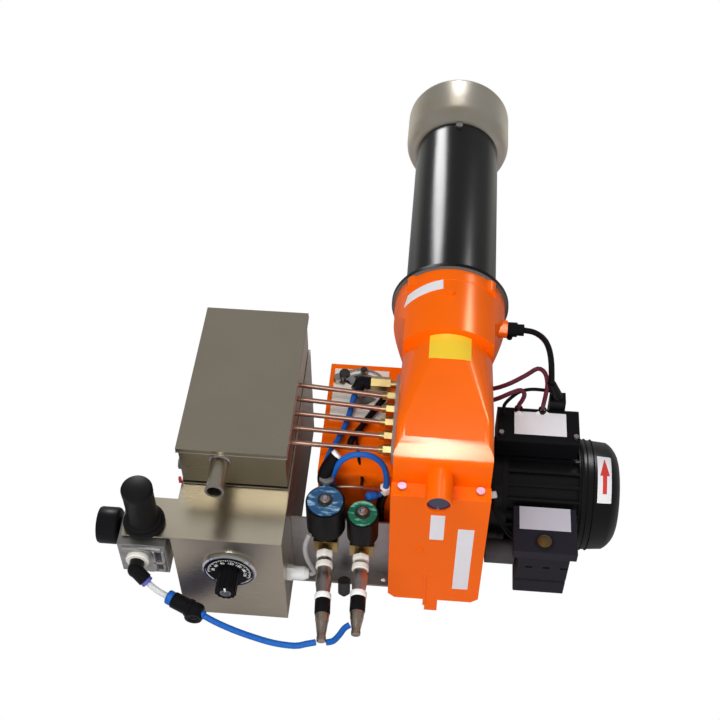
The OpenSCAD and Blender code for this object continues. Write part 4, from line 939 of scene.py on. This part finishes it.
class BURNER_OT_valves(bpy.types.Operator):
    """Coil caps with their nuts, outlet fittings, the rear hoses' fittings and the frame's stub"""
    bl_idname = "burner.valves"
    bl_label = "Valves"

    def execute(self, context):
        first = None
        rows = (("a", VALVE_A, -46, 17.2, "coloured_caps"), ("b", VALVE_B, -60, 14.2, "green_cap"))
        for tag, (x, y), z, radius, slot in rows:
            here = along("z", (x, y, z))
            cap = spun_piece("cap_" + tag, [
                (5.05, -1.9), (radius - 0.3, -1.9), (radius, -1.5), (radius, 0.1), (radius - 0.5, 0.5),
                (5.05, 0.5), (5.05, -1.9),
            ], here, slot)
            first = first or cap
            hexagon("cap_nut_" + tag, 5.2, 0.6, 4.2, here, "steel")
            spun_piece("cap_washer_" + tag, [
                (5.2, 0.52), (7.4, 0.52), (7.4, 1.1), (7.0, 1.4), (5.2, 1.4), (5.2, 0.52),
            ], here, "dark_steel")
            stem = [(0, 4), (2.6, 4), (2.6, 5.4), (1.9, 6.2), (0, 6.4)]
            spun_piece("cap_stem_" + tag, stem, here, "chrome")
        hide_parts("coil_caps")
        lines = (("a", VALVE_A, 3.7, 0, 1.0), ("b", VALVE_B, 1.2, -7, 0.85))
        for tag, valve, lean, shift, stretch in lines:
            here = outlet_frame(valve, lean)
            far = 8.5 + shift * 0.2
            hexagon("outlet_nut_" + tag, 9.2, 0.9, far, here, "cream_plastic", 1.2)
            near = shift * 0.3
            spun_piece("outlet_neck_" + tag, [
                (0, 8), (6.4, 8), (7.2, 9.5), (7.2, 12), (6.2, 13), (0, 13),
            ], here, "cast_zinc")
            spun_piece("outlet_ring_" + tag, [
                (6, 13 + near), (8.2, 13 + near), (8.4, 14 + near), (8.4, 18 + near), (7.6, 19 + near),
                (6, 19 + near), (6, 13 + near),
            ], here, "cream_plastic")
            spun_piece("outlet_elbow_" + tag, [
                (0, 18 + near), (6.6, 18 + near), (6.9, 21 + shift), (6.4, 23 + shift),
                (7.4, 27 + shift), (8.0, 31 + shift), (7.8, 36 + shift), (7.0, 41 + shift), (6.6, 46 + shift),
                (6.6, 49 + shift), (0, 49 + shift),
            ], here, "cast_zinc")
            spun_piece("outlet_collar_" + tag, [
                (5.5, 47 + shift), (7.9, 47 + shift), (8.1, 48 + shift), (8.1, 52 + shift), (7.4, 53 + shift),
                (5.5, 53 + shift), (5.5, 47 + shift),
            ], here, "white_plastic")
            low = 53 + shift
            spun_piece("outlet_sleeve_" + tag, [
                (0, low), (7.3, low), (7.6, low + 1), (7.6, low + 14), (7.2, low + 15), (0, low + 15),
            ], here, "black_plastic")
            tip = low + 14.5
            spun_piece("outlet_tip_" + tag, [
                (0, tip), (6.8, tip), (7.0, tip + 2), (6.5, tip + 4), (6.6, tip + 6), (5.8, tip + 10),
                (4.8, tip + 16 * stretch + 2), (4.2, tip + 22 * stretch), (4.6, tip + 25 * stretch),
                (4.4, tip + 28 * stretch), (3.4, tip + 28.6 * stretch), (0, tip + 28.6 * stretch),
            ], here, "tip_metal")
        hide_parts("outlet_fittings")

        def gone(x, y, z):
            return (-125 < x < -55 and y < -262) or (-262 < x < -210 and y < -306)

        dress("push_in_fittings", drop=gone)
        tube_run("rear_elbow", [
            (-102.5, -187.5, -26), (-107, -192, -31), (-111, -196, -37), (-113, -199, -44), (-113, -200, -50),
        ], 6.9, "black_plastic")
        tube_run("rear_collet", [(-100.4, -186, -24.4), (-102.6, -187.6, -26.1)], 6.2, "white_plastic")
        hexagon("rear_nut", 8.2, -47, -40, along("z", (-110.5, -202.5, 0)), "zinc")
        hexagon("white_nut", 5.6, -66, -57, along("z", (-53.6, -197.3, 0)), "cream_plastic")
        tube_run("side_pipe", [(-101, -205, -52), (-80, -204.5, -50.5), (-56, -200, -59.5)], 1.5, "copper")
        tube_run("side_knob_neck", [(-58, -201, -66), (-64, -204, -64)], 2.6, "blue_plastic")
        tube_run("side_knob", [(-63, -203.5, -64.5), (-70, -207, -62)], 4.6, "blue_plastic", ends=1.6)
        side_hose = [(-54, -198, -65), (-57.5, -199, -82), (-58.5, -199, -91.7)]
        tube_run("side_hose", side_hose, 4.2, "black_rubber")
        tube_run("drain_stub", [
            (-92.6, -229.5, -184), (-92.5, -232, -192), (-92.4, -234.5, -199),
        ], 6.4, "dark_steel")
        tube_run("drain_tip", [(-92.4, -234.5, -199), (-92.1, -237, -205)], 4.2, "dark_steel")
        spun_piece("frame_dot", [(0, 0), (2.4, 0), (2.4, 0.8), (0, 1.4)],
                   to_front((-52, -227.8, -180)), "white_plastic")
        return {"FINISHED"}


class BURNER_OT_regulator(bpy.types.Operator):
    """Pressure regulator's knob, gauge, body details and the hose fittings below it"""
    bl_idname = "burner.regulator"
    bl_label = "Regulator"

    def execute(self, context):
        middle = (-281, -256, -60)
        here = along("z", middle)
        knob = spun_piece("knob", [
            (0, 7.6), (15.5, 7.6), (15.5, 0.5), (19.6, 0.5), (20, 1.2), (20, 4.6), (19.2, 5.6), (18.0, 6.0),
            (18.0, 8.6), (17.4, 9.6), (15.4, 10.4), (14.9, 12), (14.5, 15), (14.5, 49), (14.9, 50),
            (14.9, 55.6), (14.2, 57.4), (12.4, 58.3), (0, 58.3),
        ], here, "knob_black", body_of("regulator_knob"), 96, 28)
        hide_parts("regulator_knob")
        gauge = spun_piece("gauge", [
            (0, -9), (8, -9), (9, -11.5), (15.8, -12.5), (17.4, -14), (18, -16), (18, -31.5), (17.2, -33.2),
            (15.6, -33.6), (15.2, -32.4), (0, -32.4),
        ], along("x", (-304 + 8.5, -250, -78)), "black_plastic", steps=96, smooth=28)
        spun_piece("gauge_stem", [(0, 0), (4, 0), (4, 10), (0, 10)], along("x", (-313.5, -250, -78)), "brass")
        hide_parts("pressure_gauge")
        front = -279
        hub = to_front((-286, front, -86))
        spun_piece("elbow_collar", [
            (7.2, 0), (11.2, 0), (11.4, 1), (11.4, 4.4), (10.6, 5.4), (7.2, 5.4), (7.2, 0),
        ], hub, "cream_plastic")
        blocks("body_ribs", [
            ((-300, front - 1.6, -72), (-262, front + 1, -68)),
            ((-272, front - 2.2, -106), (-268.5, front + 1, -72)),
            ((-262.5, front - 2.2, -106), (-259.5, front + 1, -72)),
            ((-272, front - 2.2, -93), (-259.5, front + 1, -90)),
        ], "zinc", 0.6)
        # Dark plates in the pockets between the ribs are painted shade in the casting's hollows.
        blocks("painted_shade_hollows", [
            ((-268, front - 0.4, -89), (-263, front + 1, -76)),
            ((-268, front - 0.4, -104), (-263, front + 1, -95)),
        ], "dark_steel", 0.2)
        tube_run("elbow_collet", [(-275.9, -299.3, -93.0), (-273.6, -300.7, -94.6)], 6.0, "blue_collet")
        joint = [(-247, -313.2, -101.5), (-236, -317.4, -103.3), (-220, -323.6, -105.8)]
        tube_run("joint", joint, 7.9, "black_plastic", ends=1.2)
        collet = [(-252.4, -311.1, -100.6), (-246.6, -313.3, -101.5)]
        tube_run("joint_collet", collet, 7.0, "blue_plastic", ends=1.0)
        band = [(-232.5, -318.7, -103.8), (-229.5, -319.9, -104.3)]
        tube_run("joint_band", band, 8.9, "black_plastic", ends=0.8)
        lug = to_front((-226, -322, -106))
        spun_piece("joint_lug", [
            (0, -6), (8.6, -6), (8.6, 7), (8, 8), (5, 8), (4.6, 7.2), (2.4, 7.2), (2.1, 8), (0, 8),
        ], lug, "black_plastic")
        tube_run("hose_collet", [(-219.6, -323.8, -105.9), (-216.4, -325, -106.5)], 4.6, "blue_plastic")
        return {"FINISHED"}


class BURNER_OT_tank(bpy.types.Operator):
    """Thermostat dial, tank seams, the pipe's rim and the small fittings of the tank"""
    bl_idname = "burner.tank"
    bl_label = "Tank details"

    def execute(self, context):
        dial = (-200, -271, -107)
        face = to_front(dial)
        spun_piece("bezel", [
            (22.2, 0.4), (26.9, 0.4), (27.2, 1.4), (26.6, 3.4), (25.0, 4.6), (23.4, 4.4), (22.4, 3.4),
            (22.2, 0.4),
        ], face, "chrome", steps=96)
        turner = body_of("thermostat_knob")
        scale = Matrix.Translation(mm(dial[0], -275.6, dial[2]))
        bm = bmesh.new()
        for k in range(43):
            long = 2.6 if k % 3 == 0 else 1.4
            spin = Matrix.Rotation(math.radians(-95 + 5 * k), 4, "Y")
            block(bm, (-0.28, -0.12, 21.2 - long), (0.28, 0.3, 21.2), scale @ spin)
        new_piece("dial_ticks", mesh_of(bm, "dial_ticks"), "white_plastic", turner)
        for k in range(7):
            turn = math.radians(-80 + 30 * k)
            text = bpy.data.curves.new("number", "FONT")
            text.body = str(30 * (k + 1))
            text.size, text.extrude = 0.0044, 0.0002
            text.align_x, text.align_y = "CENTER", "CENTER"
            holder = bpy.data.objects.new("number", text)
            context.scene.collection.objects.link(holder)
            context.view_layer.update()
            mesh = bpy.data.meshes.new_from_object(holder.evaluated_get(context.evaluated_depsgraph_get()))
            bpy.data.objects.remove(holder)
            bpy.data.curves.remove(text)
            upright = Matrix.Rotation(math.pi / 2, 4, "X")
            outer = Matrix.Translation(mm(0, 0, 15.6))
            mesh.transform(scale @ Matrix.Rotation(turn, 4, "Y") @ outer @ upright)
            mesh.materials.clear()
            new_piece("dial_number_%d" % k, mesh, "white_plastic", turner)
        mark = ((-201, -299.6, -104.5), (-199, -298.6, -98.5))
        blocks("knob_mark", [mark], "white_plastic", 0.2, turner)
        spun_piece("knob_badge", [(0, 0), (5.4, 0), (5.4, 0.5), (4.9, 0.7), (4.6, 0.35), (0, 0.35)],
                   to_front((-200, -299, -107)), "steel", turner)
        mouth = along("y", (-212.5, -241, -22))
        spun_piece("pipe_rim", [
            (7.1, -0.4), (9.2, -0.4), (9.6, 0.4), (9.4, 1.6), (8.62, 2.2), (8.6, 0), (7.1, 0), (7.1, -0.4),
        ], mouth, "zinc")
        weld = [(8.6, 35.6), (8.9, 33.6), (10.4, 34.6), (10.6, 34.9), (8.6, 35.6)]
        spun_piece("pipe_weld", weld, mouth, "zinc")
        blocks("tank_seam", [
            ((-252.2, -206.4, -58.8), (-149.2, -205.2, -57.4)),
            ((-149.6, -206, -58.8), (-148.6, -24, -57.4)),
        ], "dark_steel")
        blocks("lid_lip", [
            ((-254.25, -208.3, -9.1), (-146.75, -207.9, -7.9)),
            ((-147.1, -208.2, -9.1), (-146.7, -20.8, -7.9)),
        ], "pale_zinc", 0.1, body_of("tank_lid"))
        blocks("red_mark", [((-256.6, -207.6, -60), (-253.8, -204.6, -52))], "red_plastic", 0.5)
        tube_run("side_plug", [(-253, -192, -48), (-257.5, -192, -48)], 5.8, "cast_zinc")
        return {"FINISHED"}


class BURNER_OT_intake(bpy.types.Operator):
    """Screws of the air intake's plate and the dark cables behind the oil pipes"""
    bl_idname = "burner.intake"
    bl_label = "Air intake details"

    def execute(self, context):
        cable = [
            (-62, -100.5, -40), (-67, -108, -41), (-74.5, -122, -42), (-82, -136.5, -42.5),
            (-90, -151.5, -43), (-92, -158, -47),
        ]
        tube_run("dark_cable", cable, 3.4, "black_rubber", per=6)
        tube_run("dark_lead", [
            (-86, -150, -42), (-83.5, -162, -47), (-80.5, -176, -51), (-77, -190, -54), (-76.6, -201, -58),
        ], 1.6, "black_rubber", per=6)
        spun_piece("thumb_screw", [
            (0, 0), (1.4, 0), (1.4, 7.4), (5.2, 7.7), (5.6, 8.3), (5.6, 11), (5.2, 11.6), (0, 11.6),
        ], along("z", (-104.6, -72.5, -46.2)), "dark_steel", body_of("damper_arm"), smooth=28)
        spun_piece("lock_screw", [(0, 0), (3.6, 0), (3.6, 2.4), (2.8, 3.2), (0, 3.4)],
                   along("z", (-85.6, -60.0, -44.4)), "dark_steel")
        return {"FINISHED"}


class BURNER_PT_panel(bpy.types.Panel):
    bl_label = "Burner"
    bl_idname = "BURNER_PT_panel"
    bl_space_type = "VIEW_3D"
    bl_region_type = "UI"
    bl_category = "Burner"

    def draw(self, context):
        for group in (context.scene.burner_colours, context.scene.burner_sizes):
            for key in group.__annotations__:
                self.layout.prop(group, key)
        for step in STEPS:
            self.layout.operator(step.bl_idname)


STEPS = (
    BURNER_OT_stage, BURNER_OT_finishes, BURNER_OT_cords, BURNER_OT_castings, BURNER_OT_plain,
    BURNER_OT_labels, BURNER_OT_motor, BURNER_OT_valves, BURNER_OT_regulator, BURNER_OT_tank,
    BURNER_OT_intake,
)
CLASSES = (BurnerColours, BurnerSizes, *STEPS, BURNER_PT_panel)


def register():
    for cls in CLASSES:
        bpy.utils.register_class(cls)
    bpy.types.Scene.burner_colours = PointerProperty(type=BurnerColours)
    bpy.types.Scene.burner_sizes = PointerProperty(type=BurnerSizes)


def unregister():
    del bpy.types.Scene.burner_sizes
    del bpy.types.Scene.burner_colours
    for cls in reversed(CLASSES):
        bpy.utils.unregister_class(cls)


def main():
    register()
    for step in STEPS:
        group, name = step.bl_idname.split(".")
        getattr(getattr(bpy.ops, group), name)()
    for lamp, pieces in MIRRORING.items():
        for piece in pieces:
            bpy.data.collections["mirrors_" + lamp].objects.link(bpy.data.objects[piece])


if __name__ == "__main__":
    main()
